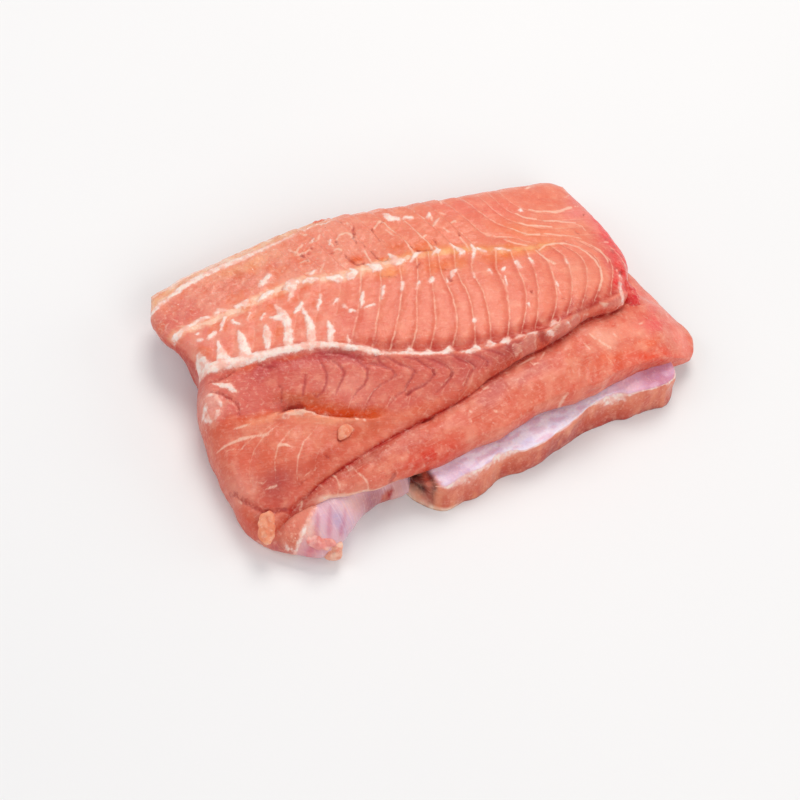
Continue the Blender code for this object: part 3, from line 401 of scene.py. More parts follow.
# On the skin side: the cut edge of the silverskin, its red ribs, the open vein and lumps on the flesh
SKIN_EDGE = (
    ((-53.6, -64.4, 0.4), (-54.1, -65.6, 0.6), (-56.7, -68.4, 0.8), (-59.4, -71.9, 0.9), (-62.1, -75.3, 0.9),
     (-64.4, -78.4, 0.5)),
)
SKIN_RIBS = (
    ((-53.8, -68.5, 0.1), (-55.1, -72.6, 0.5), (-56.3, -76.1, 0.7)),
    ((-48.6, -66.5, 0), (-50.2, -71.8, 0.4), (-51.4, -76.6, 0.6)),
    ((-42.8, -67.4, -0.1), (-44.4, -72.2, 0.2), (-47, -76.7, 0.4)),
)
VEIN_SLOT = (((-27.6, -66.2, 0.6), (-25, -63.6, 1.5), (-21.8, -60.8, 0.5)),)
PALE_LUMPS = (
    ((-68.4, -73.4, -0.2), (-67.6, -75.2, 0.3), (-66.6, -76.4, 0.2)),
    ((-65.6, -76.9, 0.2), (-64.6, -77.4, 0.1)),
)
# Furrows in the belly wall, cut into it and painted dark red as shade
BELLY_CREASES = (
    ((64, -38, -0.5), (65.4, -33, -0.2), (64, -28, -0.4)),
    ((92, -28, -0.5), (97, -26.6, -0.2), (104, -27.6, -0.5)),
    ((59.6, -22, -0.5), (58.6, -28, -0.35), (58.8, -34, -0.5)),
    ((86.4, -14, -0.5), (84, -20, -0.3), (79.6, -26, -0.5)),
    ((91, -16, -0.5), (90.6, -22, -0.35), (87, -27, -0.5)),
    ((99.4, -9, -0.5), (100.4, -16, -0.35), (98, -22, -0.5)),
    ((70, -28, -0.5), (74, -31, -0.3), (80, -31.6, -0.5)),
    ((47, -29, -0.5), (49.6, -34, -0.35), (49, -40, -0.5)),
    ((28, -38, -0.5), (34, -38.6, -0.35), (41, -36.4, -0.5)),
    ((0, -46, -0.5), (7, -45, -0.35), (16, -41, -0.5)), ((-24, -62, 0.4), (-22, -60, 0.6)),
    ((-6, -41.4, 0.6), (-2, -40.8, 0.8)), ((-29, -47, 0.1), (-22, -44, 0.2), (-12, -42.4, 0.1)),
)
LOIN_FAT = SCAR_FAT + RIB_FAT + STREAK_FAT + SEAM_FAT + EDGE_FAT + LIP_FAT


def fainter(lines, less):
    """The same strokes, each narrower by so many millimetres so that they fade, or else wider."""
    return tuple(tuple((x, y, half - less) for x, y, half in line) for line in lines)


THIN_FAT = (RIGHT_LINES + LOBE_SPECKS + fainter(UPPER_LINES, -0.12) + fainter(LOBE_SEPTA, 0.05)
            + fainter(CHEVRON_PALE, 0.22))


def eased(t, span, first, last, first_slope, last_slope):
    """A smooth way from the first value at t = 0 to the last at t = 1, with the slope given at each."""
    start = (1 + 2 * t) * (1 - t) ** 2 * first + t * (1 - t) ** 2 * span * first_slope
    end = t * t * (3 - 2 * t) * last + t * t * (t - 1) * span * last_slope
    return start + end


def curve(pairs):
    """A smooth function through (place, value) pairs, level past both ends."""
    place, value = np.array(pairs, float).T
    slope = np.gradient(value, place)

    def at(where):
        where = np.clip(where, place[0], place[-1])
        i = np.clip(np.searchsorted(place, where) - 1, 0, len(place) - 2)
        span = place[i + 1] - place[i]
        t = (where - place[i]) / span
        return eased(t, span, value[i], value[i + 1], slope[i], slope[i + 1])

    return at


def side(points):
    """A smooth line in plan through the points, from 0 at the first to 1 at the last."""
    points = np.array(points, float)
    reach = np.concatenate(((0,), np.cumsum(np.linalg.norm(np.diff(points, axis=0), axis=1))))
    reach /= reach[-1]
    across = curve(np.column_stack((reach, points[:, 0])))
    along = curve(np.column_stack((reach, points[:, 1])))
    return lambda t: np.stack((across(t), along(t)), -1)


def step(low, high, value):
    """0 below low, 1 above high, and a soft rise between."""
    t = np.clip((value - low) / (high - low), 0, 1)
    return t * t * (3 - 2 * t)


def bell(distance, width):
    """1 at no distance, fading out over the width."""
    return np.exp(-((distance / width) ** 2))


def rough(x, y, z, size, seed):
    """Soft unevenness between -1 and 1, with lumps of the given size."""
    offset = Vector((seed * 7.3, seed * 3.1, seed * 5.7))
    points = np.column_stack(np.broadcast_arrays(x, y, z)) / size
    return np.array([noise.noise(Vector(p) + offset) for p in points.tolist()])


def strokes(x, y, lines):
    """How deep inside the nearest stroke a point is, in millimetres; below zero outside."""
    inside = np.full(x.shape, OUTSIDE)
    for line in lines:
        for (x0, y0, r0), (x1, y1, r1) in zip(line, line[1:]):
            length = (x1 - x0) ** 2 + (y1 - y0) ** 2
            t = np.clip(((x - x0) * (x1 - x0) + (y - y0) * (y1 - y0)) / length, 0, 1)
            gap = np.hypot(x - x0 - t * (x1 - x0), y - y0 - t * (y1 - y0))
            inside = np.maximum(inside, r0 + t * (r1 - r0) - gap)
    return inside


lip_height = curve(LIP_HEIGHT)
scar_line = curve(SCAR_LINE)
scar_height = curve(SCAR_HEIGHT)
seam_line = curve(SEAM_LINE)
seam_height = curve(SEAM_HEIGHT)
back_line = curve(LOIN_BACK)
back_height = curve(BACK_HEIGHT)
front_line = curve(LOIN_FRONT)
belly_line = curve(BELLY_FRONT)
belly_step = curve(BELLY_STEP)
belly_fall = curve(BELLY_FALL)
belly_under = curve(BELLY_UNDER)
skirt_top = curve(SKIRT_TOP)
hollow_line = curve(HOLLOW_LINE)
flap_flare = curve(FLAP_FLARE)
no_flare = curve(((0, 0), (1, 0)))
edge_line = curve(EDGE_LINE)
right_line = curve([(y, x) for x, y in LOIN_RIGHT])
chevron = curve(CHEVRON)


def through(y, places, heights):
    """A smooth section across the fillet, through heights at places that both change along it."""
    places = [np.broadcast_to(p, y.shape) for p in places]
    slopes = []
    for i in range(len(places)):
        low, high = max(i - 1, 0), min(i + 1, len(places) - 1)
        slopes.append((heights[high] - heights[low]) / (places[high] - places[low]))
    result = np.array(heights[0] + np.minimum(y - places[0], 0) * slopes[0])
    for i in range(len(places) - 1):
        span = places[i + 1] - places[i]
        t = np.clip((y - places[i]) / span, 0, 1)
        section = eased(t, span, heights[i], heights[i + 1], slopes[i], slopes[i + 1])
        result = np.where(y > places[i], section, result)
    return result + np.maximum(y - places[-1], 0) * slopes[-1]


def band_share(x, y):
    """How far up the middle band a point is, from 0 at the scar to 1 at the seam."""
    return np.clip((y - scar_line(x)) / (seam_line(x) - scar_line(x)), 0, 1)


def middle_count(x, y):
    """Which block of the middle band a point is in, counted along the fillet."""
    t = band_share(x, y)
    lines = [curve(tuple(zip((0, 0.25, 0.5, 0.75, 1), row)))(t) for row in MIDDLE_SEPTA]
    return sum(np.clip((x - a) / (b - a), 0, 1) for a, b in zip(lines, lines[1:]))


def eye_distance(x, y):
    """How far a point is from the eye of the sweeping blocks, which are drawn out to the right of it."""
    across = x - UPPER_EYE[0]
    return np.hypot(across * np.where(across > 0, 0.5, 1.0), y - UPPER_EYE[1])


def upper_count(x, y):
    """Which block beyond the seam a point is in: they slant, and sweep round at the right."""
    slanting = (0.95 * (x - 45) + 0.38 * (y - 30)) / SLANTING_BLOCK
    sweeping = (36.0 - eye_distance(x, y)) / SWEEPING_BLOCK
    return slanting + (sweeping - slanting) * step(40, 56, x)


def lower_count(x, y):
    """Which of the blocks under the scar a point is in; they bend like arrowheads that point right."""
    feet = np.array(LOWER_FEET, float)
    return np.interp(x - chevron(scar_line(x) - y), feet, np.arange(len(feet)))


def lobe_count(x, y):
    """Which block of the near left lobe a point is in; its septa fan out from the lip."""
    return (x + 0.22 * (y + 50) + 2.2 * np.sin((y + 44) / 6)) / LOBE_BLOCK


def swell(count, sharpness):
    """A dip at each whole count and a swell between."""
    return np.abs(np.sin(np.pi * count)) ** sharpness - 0.5


def shingle(count, lip):
    """Blocks that lap over each other: each rises slowly to its right edge, then drops by the lip."""
    place = count - np.floor(count)
    return (place ** 0.8) * step(1.0, 1.0 - lip, place) - 0.4


def bands(x, y):
    """How much a point belongs to the middle, the upper and the lower band and to the near left lobe."""
    above, beyond = y - scar_line(x), y - seam_line(x)
    lobe = step(1.5, -1.5, y - hollow_line(x)) * step(-8, -24, x)
    upper = step(-1.2, 1.8, beyond)
    middle = step(-0.5, 1.0, above) * (1 - upper)
    lower = step(-0.5, -1.5, above) * (1 - lobe)
    return middle, upper, lower, lobe


def lump_depth(x, y):
    """How deep inside a see-through lump a point is, in millimetres; below zero outside."""
    warped_x = x + 1.5 * rough(x, y, 0, 2.8, 88)
    warped_y = y + 1.5 * rough(x, y, 0, 2.8, 90)
    inside = np.full(x.shape, OUTSIDE)
    for px, py, radius in LUMPS:
        inside = np.maximum(inside, radius - np.hypot(warped_x - px, 1.15 * (warped_y - py)))
    return inside


def loin_relief(x, y):
    """The blocks, the hollow, the ridges and the torn places of the bone side."""
    above, beyond = y - scar_line(x), y - seam_line(x)
    middle, upper, lower, lobe = bands(x, y)
    right = step(-30, -5, x)
    middle_swell = (0.3 + 0.22 * right - 0.2 * step(30, 55, x)) * swell(middle_count(x, y), 0.6)
    height = middle * middle_swell * step(-2, 6, above)
    flaky = step(-62, -36, x) * step(50, 30, x)
    upper_swell = (0.25 + 0.25 * right - 0.38 * step(46, 62, x)) * swell(upper_count(x, y), 0.6)
    height += upper * upper_swell * (1 - flaky)
    height += upper * flaky * 1.2 * shingle(upper_count(x, y), 0.14) * step(0.0, 3.0, beyond)
    height += lower * 0.2 * swell(lower_count(x, y), 0.6) * step(-70, -50, x)
    height += lobe * 0.25 * swell(lobe_count(x, y), 0.7)
    height -= 0.4 * step(-2.6, 0.1, strokes(x, y, LOBE_SEPTA))

    # The groove above the scar, the seam's ridge, the furrow under the scar and the ridge of the scar
    height -= 1.5 * bell(above - 2.2, 1.9) * step(-34, -10, x) * step(66, 50, x)
    height += 0.5 * bell(beyond, 2.6) * step(-50, -30, x) * step(70, 50, x)
    height -= 0.8 * bell(above + 4.5, 2.6) * step(40, 0, x)
    height += 0.9 * bell(above, 2.4) * step(0, -50, x)

    # The hollow, which is steep in front, its pale lip, the lobe's dome and the dent at its left
    dip = y - hollow_line(x)
    ends = step(-68, -56, x) * step(-16, -34, x)
    height -= 3.6 * ends * bell(dip, np.where(dip > 0, 2.8, 0.7))
    height += 0.9 * ends * bell(dip + 2.4, 1.6)
    height += 2.6 * bell(np.hypot((x + 60) / 1.5, y + 49), 13)
    height -= 1.5 * bell(np.hypot((x + 84) / 1.6, y + 33), 4)

    # Fat stands out and cracks cut in
    height += 0.45 * step(-0.9, 1.2, strokes(x, y, LOIN_FAT))
    height += 0.12 * step(-0.5, 0.3, strokes(x, y, THIN_FAT))
    height -= 0.9 * step(-0.6, 0.7, strokes(x, y, CREASES))
    height -= 0.4 * step(-1.1, 0.1, strokes(x, y, CHEVRONS))

    # Torn flesh beyond the seam and at the left end, and lumps at the left end and on the lip
    torn = step(2, 6, beyond) * step(48, 20, x) * step(-92, -70, x)
    frayed = 0.45 * bell(np.hypot(x + 78, (y + 14) / 0.7), 12)
    ragged = 0.12 + torn * (0.1 + 0.18 * step(-34, -50, x)) + frayed
    broken = rough(0.5 * x + 0.2 * y, y - 0.45 * x, 0, 2.9, 11)
    height += 0.62 * ragged * (1 - 2.2 * np.abs(broken))
    height += (0.10 + 0.12 * torn) * rough(x, y, 0, 1.9, 12)
    end_lumps = bell(np.hypot((x + 84.5) / 1.1, (y + 19) / 1.2), 6.5)
    height += end_lumps * (1.2 + 1.6 * np.abs(rough(x, y, 0, 3.4, 13)))
    height += 0.8 * step(-0.6, 2.2, lump_depth(x, y))
    height += 0.45 * rough(x, y, 0, 13.0, 14)
    return height


def loin_top(x, y):
    places = (front_line(x), np.maximum(scar_line(x), front_line(x) + 4), seam_line(x), back_line(x))
    heights = (lip_height(x), scar_height(x), seam_height(x), back_height(x))
    fullness = 1.2 * bell(np.hypot((x - 30) / 3, y - 8), 16)
    return through(y, places, heights) + fullness + loin_relief(x, y)


def loin_under(x, y):
    """Sunk in the layers below, raised under the lip and clear at the far left."""
    lip = (belly_top(x, y) - 3.0 + SUNK) * step(13, 4, y - front_line(x)) * step(-74, -50, x)
    end = (LEFT_END_LIFT + SUNK) * step(-66, -94, x) * step(0, 14, y)
    return -SUNK + np.maximum(lip, end)


def belly_top(x, y):
    """The wall starts under the lip, swells a little and turns over towards its front."""
    lip, front = front_line(x), belly_line(x)
    t = (y - front) / (lip - front + 1e-6)
    crown = BELLY_CROWN * (1 - np.clip((t - 0.6) / 0.6, -1.3, 1.3) ** 2) * step(-60, -20, x)
    past_fold = x - 62 - 0.3 * (y + 30)
    folds = bell(past_fold + 5, 3.0) - 1.3 * bell(past_fold, 2.2) + bell(past_fold - 5, 3.0)
    return lip_height(x) - belly_step(x) + crown - belly_fall(x) + folds * step(0.9, 0.3, t)


def slanting_waves(x, y):
    """The soft waves that run aslant over the belly wall."""
    return rough(x * 0.8, y - 0.4 * x, 0, 4.4, 22)


def belly_skin(x, y):
    """The wall's top with its soft waves, pits and furrows."""
    waves = 0.6 * rough(x, y, 0, 10.0, 21) + 0.4 * slanting_waves(x, y) + 0.16 * rough(x, y, 0, 1.8, 23)
    waves -= 0.7 * step(-0.8, 0.5, strokes(x, y, BELLY_CREASES))
    return belly_top(x, y) + waves


def flap_top(x, y):
    waves = 0.35 * rough(x, y, 0, 8.0, 31) + 0.12 * rough(x, y, 0, 2.0, 32)
    return FLAP_TOP + 0.5 * np.sin(x / 6.5) - 2.0 * step(-4, -17, x) + waves


def skirt_skin(x, y):
    ribs = 0.3 * np.sin((x + 0.5 * y) / 1.9) * step(-60, -50, x)
    return skirt_top(x) + ribs * step(-56, -62, y) + 0.4 * rough(x, y, 0, 5.0, 41)


def flat_under(x, y):
    return -SUNK + 0 * x * y


def block(cells):
    """A unit block of cells: a cube whose edges are cut across, one direction after another."""
    bm = bmesh.new()
    bmesh.ops.create_cube(bm, size=1.0)
    for axis, count in enumerate(cells):
        edges = [e for e in bm.edges if abs(e.verts[0].co[axis] - e.verts[1].co[axis]) > 1e-6]
        bmesh.ops.subdivide_edges(bm, edges=edges, cuts=count - 1)
    return bm


def layer(name, outline, rim, top, under, cell, depth_cells, boxiness, unevenness, flare=no_flare,
          finish=None):
    """One layer: a block laid over its outline, between under and top, its sides rounded over the rim."""
    front, back, left, right = (side(points) for points in outline)
    middle = np.array((0.5,))
    length = np.linalg.norm(right(middle) - left(middle))
    width = np.linalg.norm(back(middle) - front(middle))
    bm = block((round(length / cell), round(width / cell), depth_cells))
    a, b, c = (np.array([v.co for v in bm.verts]) + 0.5).T

    # From here a, b and c are each point's share of the way along, across and up the layer
    turn = (c - 0.5) * math.pi
    inset = 1 - np.abs(np.cos(turn)) ** (2 / boxiness)
    rise = 0.5 + 0.5 * np.sign(np.sin(turn)) * np.abs(np.sin(turn)) ** (2 / boxiness)
    span_a = np.linalg.norm(right(b) - left(b), axis=1)
    span_b = np.linalg.norm(back(a) - front(a), axis=1)
    a = rim["left"] / span_a * inset + a * (1 - (rim["left"] + rim["right"]) / span_a * inset)
    b = rim["front"] / span_b * inset + b * (1 - (rim["front"] + rim["back"]) / span_b * inset)

    a, b = a[:, None], b[:, None]
    plan = (1 - b) * front(a[:, 0]) + b * back(a[:, 0]) + (1 - a) * left(b[:, 0]) + a * right(b[:, 0])
    plan -= (1 - a) * ((1 - b) * front(0.0) + b * back(0.0)) + a * ((1 - b) * front(1.0) + b * back(1.0))
    x, y = plan.T
    high, low = top(x, y), under(x, y)
    z = low + (high - low) * rise
    y = y - flare(x) * (1 - b[:, 0]) ** 2 * (1 - rise)
    wobble = unevenness * np.abs(np.cos(turn))
    fine = wobble * 0.35
    x = x + wobble * rough(x, y, z, 9.0, 1) + fine * rough(x, y, z, 2.6, 4)
    y = y + wobble * rough(x, y, z, 9.0, 2) + fine * rough(x, y, z, 2.6, 5)
    z = z + unevenness * 0.4 * rough(x, y, z, 14.0, 3) * step(0.5, 0.8, rise)
    if finish:
        x, y, z = finish(x, y, z, rise)
    for vertex, place in zip(bm.verts, np.column_stack((x, y, z)).tolist()):
        vertex.co = place
    cut_level(bm)
    return add_mesh(name, bm)


def cut_level(bm):
    """Cuts off what would reach below the level it rests on, and closes the cut."""
    cut = bmesh.ops.bisect_plane(bm, geom=[*bm.verts, *bm.edges, *bm.faces], dist=1e-5, plane_co=(0, 0, 0),
                                 plane_no=(0, 0, 1), clear_inner=True)
    rim = [part for part in cut["geom_cut"] if isinstance(part, bmesh.types.BMEdge)]
    if rim:
        sole = bmesh.ops.contextual_create(bm, geom=rim)["faces"]
        bmesh.ops.triangulate(bm, faces=sole)


def flap_end(x, y, z, rise):
    """Scoops out the folded end's left end, over a rim that stands out at its foot."""
    share = bell(x + 12, 6.5) * step(-50, -56, y)
    scoop = share * np.sin(np.pi * np.clip(rise * 1.15 - 0.1, 0, 1)) * 4.4
    return x + scoop * 0.5, y + scoop, z


def add_mesh(name, bm):
    mesh = bpy.data.meshes.new(name)
    bm.to_mesh(mesh)
    bm.free()
    body = bpy.data.objects.new(name, mesh)
    bpy.context.scene.collection.objects.link(body)
    mesh.shade_smooth()
    return body


def places_of(body):
    """The body's points on the plan, in millimetres, and which way each faces."""
    count = len(body.data.vertices)
    place, facing = np.empty(count * 3), np.empty(count * 3)
    body.data.vertices.foreach_get("co", place)
    body.data.vertices.foreach_get("normal", facing)
    x, y, z = place.reshape(-1, 3).T
    return x, y, z, facing.reshape(-1, 3)


def write_values(body, **fields):
    """Stores a number, a direction or a colour at each point for the material to read."""
    count = len(body.data.vertices)
    nothing = {name: np.full(count, OUTSIDE) for name in ("fat", "thin_fat", "crease")}
    fields["tint"] = fields["tint"] ** DEPTH
    for name, values in {**nothing, **fields}.items():
        values = np.asarray(values, np.float32)
        kind = "FLOAT" if values.ndim == 1 else "FLOAT_VECTOR"
        stored = body.data.attributes.new(name, kind, "POINT")
        stored.data.foreach_set("value" if values.ndim == 1 else "vector", values.ravel())


def linear(hex_colour):
    """An sRGB hex colour as linear red, green and blue."""
    channels = [int(hex_colour[i:i + 2], 16) / 255 for i in (1, 3, 5)]
    return np.array([c / 12.92 if c <= 0.04045 else ((c + 0.055) / 1.055) ** 2.4 for c in channels])


def ground(x, hex_colour):
    """The same colour at each point."""
    return np.tile(linear(hex_colour), (len(x), 1))


def painted(colour, *coats):
    """Lays coats over the colour in turn, each a colour and how much of it shows at each point."""
    for coat, share in coats:
        colour = colour + (linear(coat) - colour) * share[:, None]
    return colour


def tinted(x, y, colour, patches):
    """Lays soft patches of colour over the ground colour: middle, half sizes, turn, colour, strength."""
    x = x + 2.2 * rough(x, y, 0, 7.0, 51)
    y = y + 2.2 * rough(x, y, 0, 7.0, 52)
    for (px, py), (rx, ry), turn, patch, strength in patches:
        c, s = math.cos(math.radians(turn)), math.sin(math.radians(turn))
        reach = (((x - px) * c + (y - py) * s) / rx) ** 2 + (((y - py) * c - (x - px) * s) / ry) ** 2
        colour = painted(colour, (patch, strength * np.exp(-(reach ** 1.3))))
    return colour


# Patches of colour on the loin, the belly wall, the folded end's skin and the turned-down skin side
LOIN_TINTS = (
    ((-78, 9), (14, 9), 10, "#ee9d91", 0.7), ((-60, 12), (14, 9), 0, "#f49d85", 0.8),
    ((-24, 2), (9, 10), 60, "#e57d6a", 0.7), ((-88, 24), (13, 9), 20, "#e3857a", 0.9),
    ((-66, 31), (16, 7), 18, "#eb9480", 0.7), ((-57, 43), (16, 4), 16, "#f6b894", 0.9),
    ((-40, 40), (9, 6), 10, "#f5ae98", 0.7), ((-60, 38.5), (2.2, 3), 0, "#d86a3a", 0.8),
    ((-30, 42), (14, 9), 10, "#ef9783", 0.5), ((-3, 24), (6, 3.2), 5, "#f8a368", 0.9),
    ((-13, 33), (3.5, 2.2), 0, "#ea7238", 0.9), ((-3, 31.6), (3.2, 1.8), 0, "#ec7c40", 0.9),
    ((14, 34), (6, 3), 0, "#ee8450", 0.8), ((4, 37.5), (4, 2.6), 0, "#e87a48", 0.7),
    ((18, 23), (6, 4), 10, "#f18a55", 0.9), ((27, 24), (5, 4), 30, "#f3965f", 0.7),
    ((40, 22), (4, 3), 0, "#f08f5e", 0.8), ((47, 23), (6, 2.6), -5, "#f08c50", 0.9),
    ((48, 28.6), (5, 1.8), 0, "#ee9048", 0.9), ((41, 17), (3, 3), 0, "#e8764f", 0.8),
    ((62, 35.5), (9, 5), -20, "#f59c6c", 0.8), ((52, 38), (6, 9), 25, "#f3906c", 0.6),
    ((74, 33), (12, 5), -8, "#f59c7c", 0.7), ((84, 44), (9, 5), 0, "#f59a84", 0.8),
    ((75, 57), (18, 8), 8, "#f28c72", 0.6), ((50, 50), (14, 7), 0, "#ef8370", 0.6),
    ((38, 56), (14, 6), 0, "#f39080", 0.6), ((97, 20), (6, 17), 0, "#e8585a", 0.95),
    ((95, 11), (4, 7), 20, "#d83c4a", 0.9), ((97, 38), (5, 9), 10, "#f8867a", 0.8),
    ((89, 45), (6, 4), 20, "#f59a98", 0.6), ((92, 54), (4, 5), 0, "#ee7478", 0.5),
    ((68, 22), (6, 4), 0, "#ec8068", 0.6), ((75, 8), (7, 8), 0, "#f6ab92", 0.8),
    ((48, 5), (6, 8), 0, "#f29a86", 0.5), ((-45, -9), (20, 3.5), -6, "#c95f63", 0.75),
    ((-60, -11), (8, 4), 0, "#c04e54", 0.9), ((-32, -11), (9, 3.4), -20, "#b9404e", 0.8),
    ((-68, -6.8), (6, 1.4), 6, "#e2622f", 0.9), ((-50, -7.2), (6, 1.2), 0, "#e0683c", 0.7),
    ((-72, -17), (11, 8), 0, "#e58478", 0.7), ((-43, -18), (13, 6), -8, "#db7f72", 0.8),
    ((-30, -24), (12, 6), -12, "#eb9c8c", 0.8), ((-50, -25), (9, 2.4), -14, "#c8622e", 0.75),
    ((-38, -32.6), (12, 2.2), -17, "#da6624", 0.95), ((-26, -35.6), (6, 1.6), -14, "#dc6a28", 0.9),
    ((-8, -28), (16, 7), -8, "#df7e6c", 0.6), ((12, -24.5), (14, 4), -4, "#d06e68", 0.8),
    ((33, -23), (8, 3), 8, "#bf5650", 0.85), ((25, -25), (5, 3), 0, "#d47068", 0.7),
    ((44, -20), (5, 2.6), 10, "#e0836a", 0.7), ((-84.5, -19), (6, 8), 0, "#f3b4a6", 0.85),
    ((-76, -28), (9, 2.6), 0, "#dc603e", 0.8), ((-68, -28), (9, 2.2), -4, "#de6338", 0.8),
    ((-77, -14), (6, 3.4), -20, "#de8072", 0.7), ((-88, -27), (4, 4), 0, "#e0693f", 0.6),
    ((-78, -41), (10, 7), 0, "#e2775e", 0.7), ((-55, -39), (14, 6), -10, "#e9947a", 0.8),
    ((-46, -34.6), (10, 2), -14, "#f0a284", 0.8), ((-66, -47), (7, 7), 0, "#de7456", 0.6),
    ((-81, -54), (7, 9), 10, "#ea9a88", 0.85), ((-66, -56), (9, 6), 25, "#bd5754", 0.8),
    ((-48, -50), (12, 4), 28, "#cc5d46", 0.8), ((-30, -42), (10, 3.2), 14, "#d0653f", 0.7),
    ((-79, -66), (4, 6), 20, "#dd5c3a", 0.8), ((-68, -63), (8, 3), 10, "#c9594e", 0.6),
    ((-5, -38), (16, 2.6), 14, "#e37e5c", 0.7), ((18, -31), (11, 2.6), 26, "#e37e66", 0.7),
    ((58, -16), (5, 2), 20, "#c95a50", 0.6), ((-36, -38), (4, 3), 30, "#d2623e", 0.4),
)
BELLY_TINTS = (
    ((-52, -60), (10, 5), 20, "#ce6660", 0.8), ((-32, -53), (13, 5), 14, "#c2695c", 0.85),
    ((-30, -58), (12, 3), 8, "#d9745c", 0.7), ((-5, -56), (15, 4.2), 12, "#dc3408", 1),
    ((8, -52.4), (10, 3.2), 14, "#e67e66", 0.6), ((-12, -50), (10, 4), 10, "#cc6456", 0.7),
    ((10, -46), (14, 5), 14, "#e4836c", 0.8), ((24, -35.5), (10, 5), 24, "#cb665e", 0.85),
    ((41, -30), (12, 4), 22, "#d0726a", 0.85), ((40, -40), (11, 5), 16, "#e68268", 0.8),
    ((46, -44.6), (12, 3), 14, "#da4a20", 0.95), ((60, -33), (9, 8), 40, "#e68468", 0.85),
    ((61, -40.5), (9, 3), 16, "#e06850", 0.8), ((77, -18), (7, 6), -50, "#f8bca6", 0.9),
    ((79, -30), (10, 4), 10, "#f1805a", 0.85), ((80, -34), (12, 2.4), 10, "#e25a3a", 0.7),
    ((92, -17), (10, 7), 0, "#faa690", 0.85), ((98, -28.6), (16, 3.4), 4, "#ee5226", 0.9),
    ((96, -23.6), (7, 2), 10, "#f4703c", 0.7), ((104, -13), (8, 6), 20, "#f26a6c", 0.85),
    ((112, -6), (8, 6), 0, "#f4786e", 0.85), ((108, 5), (9, 6), 0, "#fb9a8e", 0.8),
    ((117, -19), (5, 8), 0, "#fc988c", 0.85), ((99, 0), (7, 5), 40, "#dd5038", 0.7),
    ((86, -12), (7, 3), 10, "#ea7a62", 0.6),
)
FLAP_SKIN_TINTS = (
    ((4, -61), (8, 4), 10, "#e2bcd0", 0.8), ((20, -56), (6, 2), 20, "#f6dcea", 0.7),
    ((36, -53), (4, 2), 20, "#eae2fb", 0.9), ((50, -48), (6, 2), 20, "#eee6fb", 0.8),
)
SKIRT_FLESH_TINTS = (
    ((-65, -76), (5, 4), -10, "#e08a70", 0.8), ((-70, -78), (8, 3.2), -24, "#c4586a", 0.9),
    ((-61, -81.5), (8, 2.2), -6, "#cc6878", 0.9), ((-66, -66.5), (7, 4), 30, "#f0a08c", 0.8),
)
SKIRT_SKIN_TINTS = (
    ((-46, -72), (3.6, 5.0), 14, "#c8aec8", 0.85), ((-51.5, -70), (1.8, 6), 14, "#e6bccb", 0.7),
    ((-58, -73), (2.6, 6), 30, "#f8d6ca", 0.9), ((-40, -66), (5, 3), 10, "#ecccc6", 0.8),
    ((-37, -66.5), (4, 3), 30, "#e4b0aa", 0.8), ((-29, -65), (6, 4), 20, "#b06a6e", 0.9),
    ((-58, -80), (6, 2), 0, "#dd8494", 0.8), ((-20, -62), (6, 3), 14, "#d8a090", 0.7),
)
# Painted shade: the dark red laid where two layers meet
FOLD_SHADE = "#b81812"  # where two layers meet
DEPTH = 1.24  # the wet film's gloss washes colours out, so they are stored this much deeper


